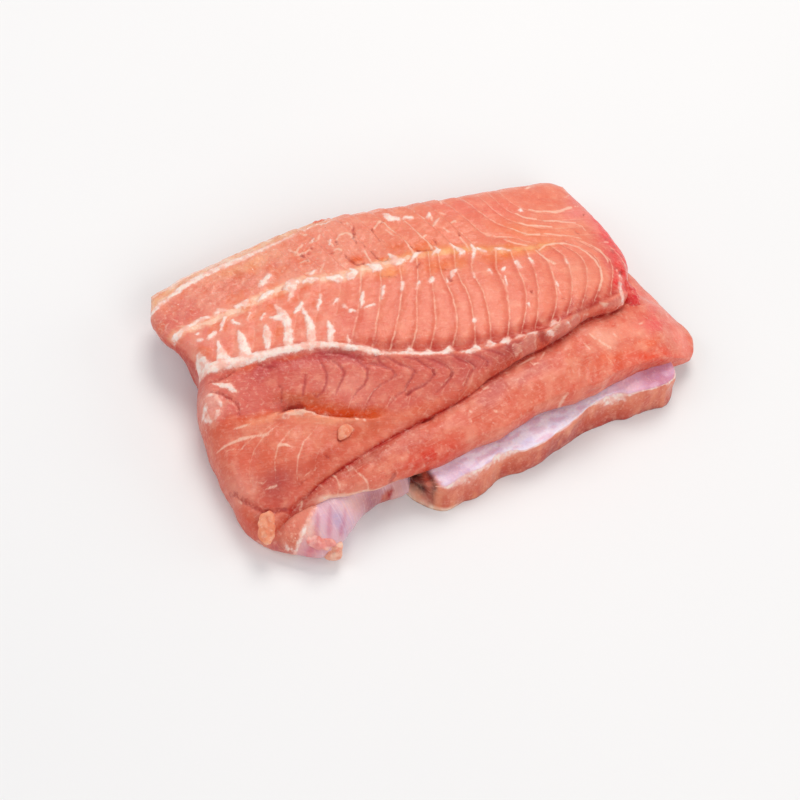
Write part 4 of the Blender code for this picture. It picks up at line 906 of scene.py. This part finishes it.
def dress_loin(body):
    x, y, z, facing = places_of(body)
    above, beyond = y - scar_line(x), y - seam_line(x)
    from_front, dip = y - front_line(x), y - hollow_line(x)
    middle, upper, lower, lobe = bands(x, y)
    counts = np.column_stack((middle_count(x, y), upper_count(x, y), lower_count(x, y)))
    foot = above - 1.6 * np.cos(2 * np.pi * counts[:, 0])
    # The bands' own colours, then painted shade in the groove above the scar: dark red at each middle block's
    # foot, and a darker band along the scar at the left
    colour = painted(
        ground(x, "#f19880"), ("#f19a80", upper), ("#f8b8a6", 0.4 * upper * step(8, -14, x)),
        ("#db796c", lower), ("#e3856e", lobe),
        ("#c0392f", 0.95 * middle * step(9.5, 0.6, foot) * step(-46, -20, x)),
        ("#d9695c", 0.85 * middle * step(5, 1, above) * step(-30, -45, x)))
    colour = tinted(x, y, colour, LOIN_TINTS)

    # The orange and peach-coloured flesh along the seam, and the fat outside the white edge line
    seam_band = strokes(x, y, SEAM_BAND)
    band = step(-1.0, 1.1, seam_band + 1.5 * rough(x, y, 0, 2.6, 83))
    outside = step(-1.0, 1.0, y - edge_line(x) + rough(x, y, 0, 4.0, 84)) * step(-8, -30, x)
    streaky = rough(0.35 * x + 0.15 * y, y - 0.42 * x, z, 2.2, 93)
    patchy = rough(x, y, 0, 4.2, 92)
    fatty = np.maximum(middle, 0.7 * upper) * step(-18, -40, x) * (1 - outside)
    colour = painted(
        colour, ("#f3a067", 0.75 * step(4.5, 0.5, np.abs(beyond)) * step(-30, 0, x) * step(78, 60, x)),
        ("#fbcfb2", 0.85 * band * step(20, -10, x)), ("#f9c48c", 0.7 * band * step(-10, 20, x)),
        ("#f8c8a4", 0.9 * outside), ("#fdeede", 0.7 * outside * step(0.1, 0.45, streaky)),
        ("#eb9a6e", 0.7 * outside * step(-0.1, -0.5, streaky)),
        ("#ec7c44", 0.5 * fatty * step(0.1, 0.45, patchy)),
        ("#f3b4a0", 0.5 * fatty * step(-0.1, -0.45, patchy)))

    # The hollow and its pale ridge, painted shade along the lip, where the loin meets the belly wall and on
    # the side faces, the bloody right rim and the underside
    ridge = bell(dip + 2.8 + rough(x, y, 0, 3.0, 85), 1.7) * step(-80, -68, x) * step(-24, -44, x)
    rim_gap = right_line(y) - x + 2.0 * rough(x, y, 0, 3.6, 82)
    lip = step(3.2, 0.4, from_front) * step(-78, -66, x)
    fold_gap = z - belly_top(x, y)
    near_front = step(7, 4, from_front)
    shaded_side_face = step(0.45, 0.05, facing[:, 2]) * (1 - near_front * step(2.5, 0.5, fold_gap))
    reach = 6.0 + 6.0 * step(50, 30, y)
    bloody = step(reach, 0.55 * reach, rim_gap) * step(-4, 5, y) * step(66, 44, y)
    bloody = bloody * (0.3 + 0.7 * step(5, 14, z))
    lump = lump_depth(x, y)
    colour = painted(
        colour, ("#e0641a", 0.95 * bell(dip - 1.5, 1.9) * step(-53, -47, x) * step(-17, -25, x)),
        ("#f5ab8a", 0.8 * ridge),
        ("#f3968c", 0.6 * step(15, 9, rim_gap) * step(4, 14, y) * step(56, 46, y)),
        # Painted shade along the lip, in a band just behind the loin's front
        ("#cc5630", 0.45 * lip * step(80, 60, x)),
        (FOLD_SHADE, 0.95 * near_front * step(1.8, 0.3, fold_gap) * step(-70, -62, x)),
        # Painted shade: steep side faces darker, and the wall under the left end darker still
        ("#e0735f", 0.65 * shaded_side_face),
        ("#c94838", 0.8 * shaded_side_face * step(-80, -88, x) * step(24, 10, y) * step(-12, -2, y)),
        ("#f2142c", 0.95 * bloody), ("#f08078", 0.6 * bloody * step(0.2, 0.45, rough(x, y, z, 3.0, 87))),
        ("#a81024", 0.7 * bloody * step(0.15, 0.6, rough(x, y, z, 2.6, 91))),
        ("#d8a3a6", step(-0.3, -0.7, facing[:, 2])), ("#e3a094", 0.7 * step(-0.8, 0.6, lump)))

    # Where septa, fat and cracks show: on what faces up
    shown = step(0.1, 0.45, facing[:, 2])
    show_middle = middle * step(0.6, 2.5, above) * (0.2 + 0.55 * step(-30, -14, x))
    show_upper = upper * step(1, 5, beyond) * (0.15 + 0.45 * step(24, 42, x)) * step(98, 84, x)
    show_upper = show_upper * step(9, 20, eye_distance(x, y))
    show_lower = lower * step(-72, -50, x) * step(-1.0, -3.0, above) * (0.12 + 0.2 * step(0, 20, x))
    fleck = seam_band - 1.4 + 2.2 * rough(x, y, 0, 1.9, 86) - 2 * step(10, 30, x)
    lump_edge = 0.05 - np.abs(lump - 0.1)
    thin_fat = np.maximum(np.maximum(strokes(x, y, THIN_FAT), fleck), lump_edge)
    torn = 0.65 * step(2, 6, beyond) * step(40, -50, x) + 0.12 * lower
    torn = torn + 0.45 * bell(np.hypot(x + 78, y + 16), 13)
    write_values(body, tint=colour, counts=counts, torn=np.clip(torn, 0, 1), edge=strokes(x, y, CHEVRONS),
                 show=np.column_stack((show_middle, show_upper, show_lower)) * shown[:, None],
                 fat=np.where(shown > 0, strokes(x, y, LOIN_FAT), OUTSIDE),
                 thin_fat=np.where(shown > 0, thin_fat, OUTSIDE),
                 crease=np.where(shown > 0, strokes(x, y, CREASES), OUTSIDE),
                 fibre=np.column_stack((y + 0.12 * x, x, z)))


def dress_belly(body):
    x, y, z, facing = places_of(body)
    in_front = y - front_line(x)
    rim = step(6, 4, y - belly_line(x)) * step(-56, -50, x) * step(2, -10, x)
    above_skin = z - skirt_top(x) - 0.3 + 0.5 * rough(x, y, z, 2.4, 89)
    cream = rim * step(2.4, 1.2, above_skin) * (0.6 + 0.4 * step(-16, -28, x))
    colour = painted(
        tinted(x, y, ground(x, "#e9876f"), BELLY_TINTS),
        # Painted sheen: paler on the crests of the slanting waves
        ("#f6b49c", 0.45 * step(0.05, 0.5, slanting_waves(x, y))),
        ("#d8502c", 0.35 * step(-0.1, -0.5, rough(x * 0.7, y - 0.3 * x, 0, 5.0, 24))),
        # Painted shade: darker just in front of the loin's lip, the fold's dark line under it, and darker on
        # faces that turn down
        ("#b5482f", 0.5 * step(-4.5, -1.0, in_front) * step(96, 88, x)),
        (FOLD_SHADE, 0.95 * step(-1.7, -0.3, in_front) * step(96, 88, x)),
        ("#c04a36", 0.6 * step(0.2, -0.3, facing[:, 2])), ("#ffdcc4", 0.95 * cream))
    write_values(body, tint=colour, fat=cream * 0.9 - 1.0, torn=0.25 + 0 * x,
                 thin_fat=strokes(x, y, BELLY_SEPTA), crease=strokes(x, y, BELLY_CREASES),
                 fibre=np.column_stack((y - 0.3 * x, x * 0.5, z)))


def dress_flap(body):
    x, y, z, facing = places_of(body)
    face_height = z / FLAP_TOP
    # Where the scooped hollow lies, which is painted as shade below
    inside = step(-4.6, -6.6, x) * step(1.6, 2.8, z)
    streaked = rough(x, z * 0.5, 0, 3.4, 62)
    flesh = painted(
        ground(x, "#d2684e"), ("#ee9878", 0.8 * step(0.3, 0.8, face_height)),
        ("#bd5644", 0.8 * step(0.4, 0.1, face_height) * step(8, 20, x)),
        ("#e08a70", 0.6 * bell(x - 3, 10) + 0.5 * bell(x - 94, 12)),
        # Painted shade on the waist of the cut face near x = 50
        ("#b43a28", 0.75 * bell(x - 50, 13) * step(1.0, 0.65, face_height)),
        # Painted shade: the scooped hollow at the left end is laid nearly black-red and mottled brown, with a
        # lighter band near its right edge
        ("#4a0e10", inside), ("#8e3c3a", 0.5 * inside * step(0.0, 0.5, rough(x, y, z, 6.0, 64))),
        ("#d9705a", 0.7 * inside * bell(x + 7.2 + 0.25 * (z - 7), 1.3) * step(1.5, 4, z)),
        ("#ffe6d2", 0.95 * step(2.4, 1.4, z) * step(9, 0, x)),
        ("#b8403c", 0.7 * step(2.8, 1.0, z) * step(8, 20, x)),
        ("#f0a884", 0.5 * step(0.05, 0.5, streaked) * (1 - inside)),
        ("#cc5a44", 0.4 * step(-0.1, -0.5, streaked) * (1 - inside)))
    # The lilac skin: pink patches, partly its own mottling and partly painted shade of its folds, and painted
    # shade in a pink band under the belly wall's edge
    folded = rough(0.6 * x + 0.6 * y, 1.6 * y - 0.5 * x, 0, 3.4, 65)
    lilac = painted(
        tinted(x, y, ground(x, "#fdf4ff"), FLAP_SKIN_TINTS),
        ("#f2bcd0", 0.7 * step(66, 88, x)), ("#cc7c98", 0.75 * step(84, 98, x)),
        ("#e9c0d6", 0.6 * step(0.05, 0.4, folded)), ("#cf8296", 0.25 * step(-0.4, 0.9, y - belly_line(x))))
    skin = step(0.35, 0.75, facing[:, 2]) * step(-7.5, -4.5, x + 0.4 * (y + 60))
    rim = 0.6 - np.abs(facing[:, 2] - 0.55) * 7.0
    write_values(body, tint=flesh + (lilac - flesh) * skin[:, None], skin=skin,
                 fat=np.where((z > FLAP_TOP * 0.6) & (x > -6), rim, OUTSIDE),
                 torn=0.2 * (1 - skin) * (1 - inside),
                 fibre=np.column_stack((0.4 * x + 0.25 * y, 2.4 * y - x, 1.5 * z)))


def dress_skirt(body):
    x, y, z, facing = places_of(body)
    edge_x, edge_y, _ = np.array(SKIN_EDGE[0]).T
    right_of_edge = x - np.interp(-y, -edge_y, edge_x)
    skin = step(-0.4, 0.6, right_of_edge + 0.5 * rough(x, y, z, 2.0, 63))
    flesh = tinted(x, y, ground(x, "#e99884"), SKIRT_FLESH_TINTS)
    lilac = painted(tinted(x, y, ground(x, "#e6c0c8"), SKIRT_SKIN_TINTS),
                    ("#d07c90", 0.55 * step(-1.2, 0.3, strokes(x, y, SKIN_RIBS))))
    vein = step(-0.6, 0.4, strokes(x, y, VEIN_SLOT))
    write_values(body, tint=painted(flesh + (lilac - flesh) * skin[:, None], ("#b00c28", vein)),
                 skin=skin * step(-57, -54, x) * (1 - vein), torn=0.6 * (1 - skin),
                 fat=np.maximum(strokes(x, y, SKIN_EDGE) - 0.2, strokes(x, y, PALE_LUMPS)),
                 fibre=np.column_stack((x + 0.35 * y, z * 0.1, 0 * x)))


def scrap(name, middle, half_sizes, turn, tilt, colours, softness):
    """A small soft lump, such as fat or a torn flake."""
    bm = bmesh.new()
    placed = Matrix.Translation(middle) @ Matrix.Rotation(math.radians(turn), 4, "Z")
    placed = placed @ Matrix.Rotation(math.radians(tilt), 4, "X") @ Matrix.Diagonal((*half_sizes, 1.0))
    bmesh.ops.create_icosphere(bm, subdivisions=5, radius=1.0, matrix=placed)
    x, y, z = np.array([vertex.co for vertex in bm.verts]).T
    lumps = [0.7 * rough(x, y, z, 5.0, seed) + softness * rough(x, y, z, 2.3, seed + 3)
             for seed in (94, 95, 96)]
    for vertex, lump in zip(bm.verts, np.column_stack(lumps).tolist()):
        vertex.co += Vector(lump)
        vertex.co.z = max(vertex.co.z, 0.0)
    body = add_mesh(name, bm)
    x, y, z, facing = places_of(body)
    spotted = step(-0.1, 0.4, rough(x, y, z, 2.4, 71))
    write_values(body, tint=painted(ground(x, colours[0]), (colours[1], 0.8 * spotted)), torn=0.8 + 0 * x,
                 fibre=np.column_stack((x, y * 0.3, z)))
    return body


def to_metres(body):
    """Moves the plan's middle to the origin and turns millimetres into metres."""
    body.data.transform(Matrix.Scale(MM * FIT, 4) @ Matrix.Translation((-PLAN_MIDDLE[0], -PLAN_MIDDLE[1], 0)))
    body.data.update()


def add(tree, kind, values=None, **settings):
    """One node: settings are its own choices, values its inputs, each a number, a colour or a link."""
    made = tree.nodes.new("ShaderNode" + kind)
    for name, value in settings.items():
        setattr(made, name, value)
    for socket, value in (values or {}).items():
        if isinstance(value, bpy.types.NodeSocket):
            tree.links.new(value, made.inputs[socket])
        else:
            made.inputs[socket].default_value = value
    return made


def shade(hex_colour):
    return (*linear(hex_colour), 1.0)


def wet_flesh(name, septa=False, skin_streaks=0.0, wetness=0.36):
    """Raw fish flesh: moist and slightly see-through, so its gloss is a thin film over a matt inside."""
    material = bpy.data.materials.new(name)
    material.use_nodes = True
    tree = material.node_tree
    shader = tree.nodes["Principled BSDF"]
    place = add(tree, "TexCoord").outputs["Object"]

    def speckle(size_mm, detail=3.0, roughness=0.55):
        made = add(tree, "TexNoise", {"Vector": place, "Scale": 1 / (size_mm * MM), "Detail": detail,
                                      "Roughness": roughness})
        return made.outputs["Fac"]

    def ramp(value, low, high, start, end):
        made = add(tree, "MapRange", {"Value": value, "From Min": low, "From Max": high, "To Min": start,
                                      "To Max": end}, interpolation_type="SMOOTHSTEP")
        return made.outputs["Result"]

    def maths(operation, first, second=0.0, third=0.0):
        return add(tree, "Math", {0: first, 1: second, 2: third}, operation=operation).outputs[0]

    def mix(share, first, second):
        return add(tree, "Mix", {0: share, 6: first, 7: second}, data_type="RGBA").outputs[2]

    def stored(attribute, output="Fac"):
        return add(tree, "Attribute", attribute_name=attribute).outputs[output]

    colour = stored("tint", "Color")
    torn = stored("torn")
    # Soft mottling of the flesh, in patches of about 8, 5 and 2 mm
    bare = maths("MULTIPLY_ADD", stored("skin"), -0.85, 1.0) if skin_streaks else 1.0
    light_place, dark_place = maths("ADD", torn, 0.35), maths("ADD", torn, 0.25)
    for size_mm, detail, low, high, most, place_share, patch_colour in (
            (8.0, 3.0, 0.35, 0.7, 0.26, bare, "#d9553f"), (5.0, 4.0, 0.45, 0.75, 0.28, bare, "#ffb696"),
            (1.6, 3.0, 0.52, 0.72, 0.5, light_place, "#fac4ae"),
            (2.3, 4.0, 0.5, 0.75, 0.35, dark_place, "#cf4c36")):
        patches = maths("MULTIPLY", ramp(speckle(size_mm, detail), low, high, 0.0, most), place_share)
        colour = mix(patches, colour, shade(patch_colour))

    # Muscle fibres, drawn 0.6 mm apart and long along the grain
    grain = add(tree, "VectorMath", {0: stored("fibre", "Vector"), 1: (1.6, 0.22, 0.22)},
                operation="MULTIPLY").outputs[0]
    fibres = add(tree, "TexNoise", {"Vector": grain, "Scale": 1.0, "Detail": 2.0,
                                    "Roughness": 0.6}).outputs["Fac"]
    colour = mix(maths("MULTIPLY", ramp(fibres, 0.5, 0.75, 0.0, 0.15), bare), colour, shade("#ffc0a6"))

    # Septa: a thin pale sheet between two muscle blocks, with a shadow on its left
    pale = 0.0
    if septa:
        counts = add(tree, "SeparateXYZ", {0: stored("counts", "Vector")})
        show = add(tree, "SeparateXYZ", {0: stored("show", "Vector")})
        wander = maths("MULTIPLY_ADD", speckle(4.0, 3.0), 0.2, -0.1)
        uneven = ramp(speckle(3.2, 4.0, 0.65), 0.36, 0.62, 0.25, 1.0)
        dark = 0.0
        for band, width, depth in (("X", 0.085, 1.0), ("Y", 0.10, 0.4), ("Z", 0.06, 1.0)):
            count = maths("ADD", counts.outputs[band], wander)
            gap = maths("PINGPONG", count, 0.5)
            strength = maths("MULTIPLY", show.outputs[band], uneven)
            line = maths("MULTIPLY", ramp(gap, width, 0.0, 0.0, 1.0), strength)
            beside = maths("PINGPONG", maths("ADD", count, 0.13), 0.5)
            hollow = maths("MULTIPLY", ramp(beside, 0.26, 0.0, 0.0, depth), show.outputs[band])
            pale = maths("MAXIMUM", pale, line)
            dark = maths("MAXIMUM", dark, hollow)
        dusky = maths("MULTIPLY_ADD", speckle(1.1, 3.0), 0.7, maths("ADD", stored("edge"), -0.35))
        colour = mix(ramp(dusky, -0.9, 0.2, 0.0, 0.66), colour, shade("#a62c34"))
        colour = mix(maths("MULTIPLY", dark, 0.4), colour, shade("#cb5038"))
        colour = mix(maths("MULTIPLY", pale, 0.8), colour, shade("#fbc4aa"))

    # Thin lines of fat
    edge = maths("MULTIPLY_ADD", speckle(1.9, 4.0, 0.6), 2.4, -1.2)
    thin = ramp(maths("MULTIPLY_ADD", edge, 0.4, stored("thin_fat")), -0.5, 0.25, 0.0, 0.62)
    colour = mix(thin, colour, shade("#fbd3ba"))

    # Cracks, painted dark red: the shade at their bottom
    crack = ramp(maths("MULTIPLY_ADD", edge, 1.1, stored("crease")), -0.6, 0.7, 0.0, 0.75)
    colour = mix(crack, colour, shade("#a62a24"))

    # White fat with ragged edges, thinning out into the flesh
    fat_depth = maths("MULTIPLY_ADD", edge, 1.0, stored("fat"))
    colour = mix(ramp(fat_depth, -1.5, 0.3, 0.0, 0.4), colour, shade("#f4a893"))
    fat = ramp(fat_depth, -0.5, 0.5, 0.0, 1.0)
    fat_colour = mix(ramp(speckle(3.4, 3.0), 0.36, 0.6, 0.0, 1.0), shade("#f9bfae"), shade("#fdeadf"))
    colour = mix(maths("MULTIPLY", fat, 0.9), colour, fat_colour)

    # Silverskin: a lilac membrane with fine streaks across it
    if skin_streaks:
        skin = stored("skin")
        streaks = add(tree, "TexNoise", {"Vector": grain, "Scale": 1.4, "Detail": 4.0, "Roughness": 0.7,
                                         "Distortion": 0.6}).outputs["Fac"]
        bluish = maths("MULTIPLY", ramp(streaks, 0.45, 0.75, 0.0, skin_streaks), skin)
        colour = mix(bluish, colour, shade("#c6bbe6"))
        white = maths("MULTIPLY", ramp(streaks, 0.5, 0.25, 0.0, skin_streaks), skin)
        colour = mix(white, colour, shade("#fbf4fc"))

    # A few dots of blood and flecks of fat
    for size_mm, radius, part, rarity, share, dot_colour in (
            (5.5, 0.08, "X", 0.82, 0.7, "#a02a28"), (2.6, 0.14, "Y", 0.84, 0.8, "#ffe0d2")):
        cells = add(tree, "TexVoronoi", {"Vector": place, "Scale": 1 / (size_mm * MM), "Randomness": 1.0})
        dot = ramp(cells.outputs["Distance"], radius, radius * 0.5, 0.0, share)
        chance = add(tree, "SeparateXYZ", {0: cells.outputs["Color"]}).outputs[part]
        picked = maths("MULTIPLY", ramp(chance, rarity, rarity + 0.02, 0.0, 1.0), maths("ADD", torn, 0.12))
        colour = mix(maths("MULTIPLY", dot, picked), colour, shade(dot_colour))
    tree.links.new(colour, shader.inputs["Base Color"])

    matt = ramp(speckle(3.0, 3.0), 0.3, 0.7, 0.34, 0.5)
    tree.links.new(maths("MULTIPLY_ADD", fat, 0.08, matt), shader.inputs["Roughness"])
    settings = {"IOR": 1.4, "Specular IOR Level": 0.25, "Subsurface Weight": 0.15,
                "Subsurface Radius": (1.0, 0.35, 0.2), "Subsurface Scale": 1.8 * MM, "Coat Weight": wetness,
                "Coat Roughness": 0.12, "Coat IOR": 1.33}
    for socket, value in settings.items():
        shader.inputs[socket].default_value = value

    # Height in millimetres: fibres, fine grain, septa and fat
    height = maths("MULTIPLY", fibres, 0.2)
    grain_height = maths("MULTIPLY_ADD", torn, 0.3, 0.38)
    height = maths("MULTIPLY_ADD", speckle(1.3, 4.0, 0.6), grain_height, height)
    height = maths("MULTIPLY_ADD", pale, -0.12, height)
    height = maths("MULTIPLY_ADD", fat, 0.09, height)
    bump = add(tree, "Bump", {"Strength": 1.0, "Distance": MM, "Height": height})
    tree.links.new(bump.outputs["Normal"], shader.inputs["Normal"])
    return material


# Small scraps: middle, half sizes, turn and tilt in degrees, two colours, softness
SCRAPS = {
    "fat_end": ((-50.2, -79.8, 6.8), (3.9, 5.2, 3.2), 10, 48, ("#f2b6a0", "#fbdcc8"), 0.8),
    "fat_root": ((-54.4, -77.6, 10.4), (6.2, 3.4, 2.4), -14, 0, ("#f2aaa6", "#fcd8d2"), 0.9),
    "hanging_flake": ((-73.7, -69.8, 14.4), (3.3, 6.4, 1.4), -12, 33, ("#f4a07c", "#fbc0a0"), 0.7),
    "loose_flake": ((-36.4, -40.4, 24.7), (5.2, 2.3, 1.0), 42, 0, ("#f09e7e", "#f8bea0"), 0.45),
    "torn_edge": ((-21.0, 62.2, 18.6), (6.0, 2.0, 2.4), 12, 0, ("#f08c72", "#f3a48c"), 0.6),
    "red_tissue": ((96.0, 5.0, 19.5), (5.5, 11.0, 6.0), 20, 0, ("#e03440", "#f07a70"), 0.7),
}


def make_fillet():
    muscle = wet_flesh("raw_catfish_muscle", septa=True)
    flesh = wet_flesh("raw_catfish_belly_flesh")
    skin = wet_flesh("silverskin_over_flesh", skin_streaks=0.34, wetness=0.6)
    fat = wet_flesh("soft_fish_fat")
    loin = layer("loin", (LOIN_FRONT, LOIN_BACK, LOIN_LEFT, LOIN_RIGHT), LOIN_RIM, loin_top, loin_under,
                 cell=0.61, depth_cells=24, boxiness=2.4, unevenness=0.8)
    dress_loin(loin)
    belly = layer("belly_wall", (BELLY_FRONT, BELLY_BACK, BELLY_LEFT, BELLY_RIGHT), BELLY_RIM, belly_skin,
                  lambda x, y: belly_under(x) + 0 * y, cell=0.8, depth_cells=16, boxiness=2.5, unevenness=0.7)
    dress_belly(belly)
    flap = layer("folded_end", (FLAP_FRONT, FLAP_BACK, FLAP_LEFT, FLAP_RIGHT), FLAP_RIM, flap_top, flat_under,
                 cell=0.8, depth_cells=18, boxiness=3.5, unevenness=0.8, flare=flap_flare, finish=flap_end)
    dress_flap(flap)
    skirt = layer("skin_side", (SKIRT_FRONT, SKIRT_BACK, SKIRT_LEFT, SKIRT_RIGHT), SKIRT_RIM, skirt_skin,
                  flat_under, cell=0.7, depth_cells=20, boxiness=2.0, unevenness=0.8)
    dress_skirt(skirt)
    pieces = [(loin, muscle), (belly, flesh), (flap, skin), (skirt, skin)]
    pieces += [(scrap(name, *facts), flesh if name == "red_tissue" else fat)
               for name, facts in SCRAPS.items()]
    for body, material in pieces:
        to_metres(body)
        body.data.materials.append(material)
        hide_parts(NODE)
        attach(body, "root")


def make_floor():
    """A plain pale floor of matt paper."""
    bm = bmesh.new()
    bmesh.ops.create_grid(bm, x_segments=1, y_segments=1, size=6.0)
    floor = add_mesh("floor", bm)
    material = bpy.data.materials.new("matt_white_paper")
    material.use_nodes = True
    tree = material.node_tree
    shader = tree.nodes["Principled BSDF"]
    place = add(tree, "TexCoord").outputs["Object"]
    cloud = add(tree, "TexNoise", {"Vector": place, "Scale": 3.0, "Detail": 2.0}).outputs["Fac"]
    tone = add(tree, "Mix", {0: cloud, 6: shade("#ebecec"), 7: shade("#f2f2f2")}, data_type="RGBA").outputs[2]
    tree.links.new(tone, shader.inputs["Base Color"])
    shader.inputs["Roughness"].default_value = 0.7
    floor.data.materials.append(material)


def add_light(name, place, size, watts, colour):
    data = bpy.data.lights.new(name, "AREA")
    data.shape = "SQUARE"
    data.size = size
    data.energy = watts
    data.color = linear(colour)
    light = bpy.data.objects.new(name, data)
    light.location = place
    light.rotation_euler = (Vector(LIT_POINT) - Vector(place)).to_track_quat("-Z", "Y").to_euler()
    bpy.context.scene.collection.objects.link(light)


# Soft lights, all aimed at the fillet's middle: place, size in metres, watts and colour
LIGHTS = {
    "key": ((0.25, 0.75, 1.15), 0.7, 9.2, "#fffaf4"),
    "left": ((-0.9, 0.2, 0.7), 0.6, 2.6, "#fbfbff"),
    "front": ((0.2, -1.1, 0.9), 0.9, 6.7, "#fffdfa"),
    "right": ((1.0, -0.1, 0.5), 0.6, 1.9, "#fffdfc"),
}
LIT_POINT = (0, 0, 0.02)
# The camera, found from the corners of what the fillet lies on in the photo
CAMERA_PLACE = (-0.16775, -0.29442, 0.49680)
CAMERA_TURN = (32.037, -7.71, -15.712)
LENS_MM = 65.349


def make_studio():
    world = bpy.data.worlds.new("studio")
    world.use_nodes = True
    backdrop = world.node_tree.nodes["Background"]
    backdrop.inputs["Color"].default_value = shade("#fbfbff")
    backdrop.inputs["Strength"].default_value = 0.40
    bpy.context.scene.world = world
    for name, facts in LIGHTS.items():
        add_light(name, *facts)
    bpy.context.scene.view_settings.view_transform = "Standard"

    data = bpy.data.cameras.new("camera")
    data.sensor_width = 36.0
    data.lens = LENS_MM
    data.clip_start, data.clip_end = 0.01, 20.0
    camera = bpy.data.objects.new("camera", data)
    camera.location = CAMERA_PLACE
    camera.rotation_euler = [math.radians(a) for a in CAMERA_TURN]
    bpy.context.scene.collection.objects.link(camera)
    bpy.context.scene.camera = camera


make_fillet()
make_floor()
make_studio()
bpy.context.view_layer.update()
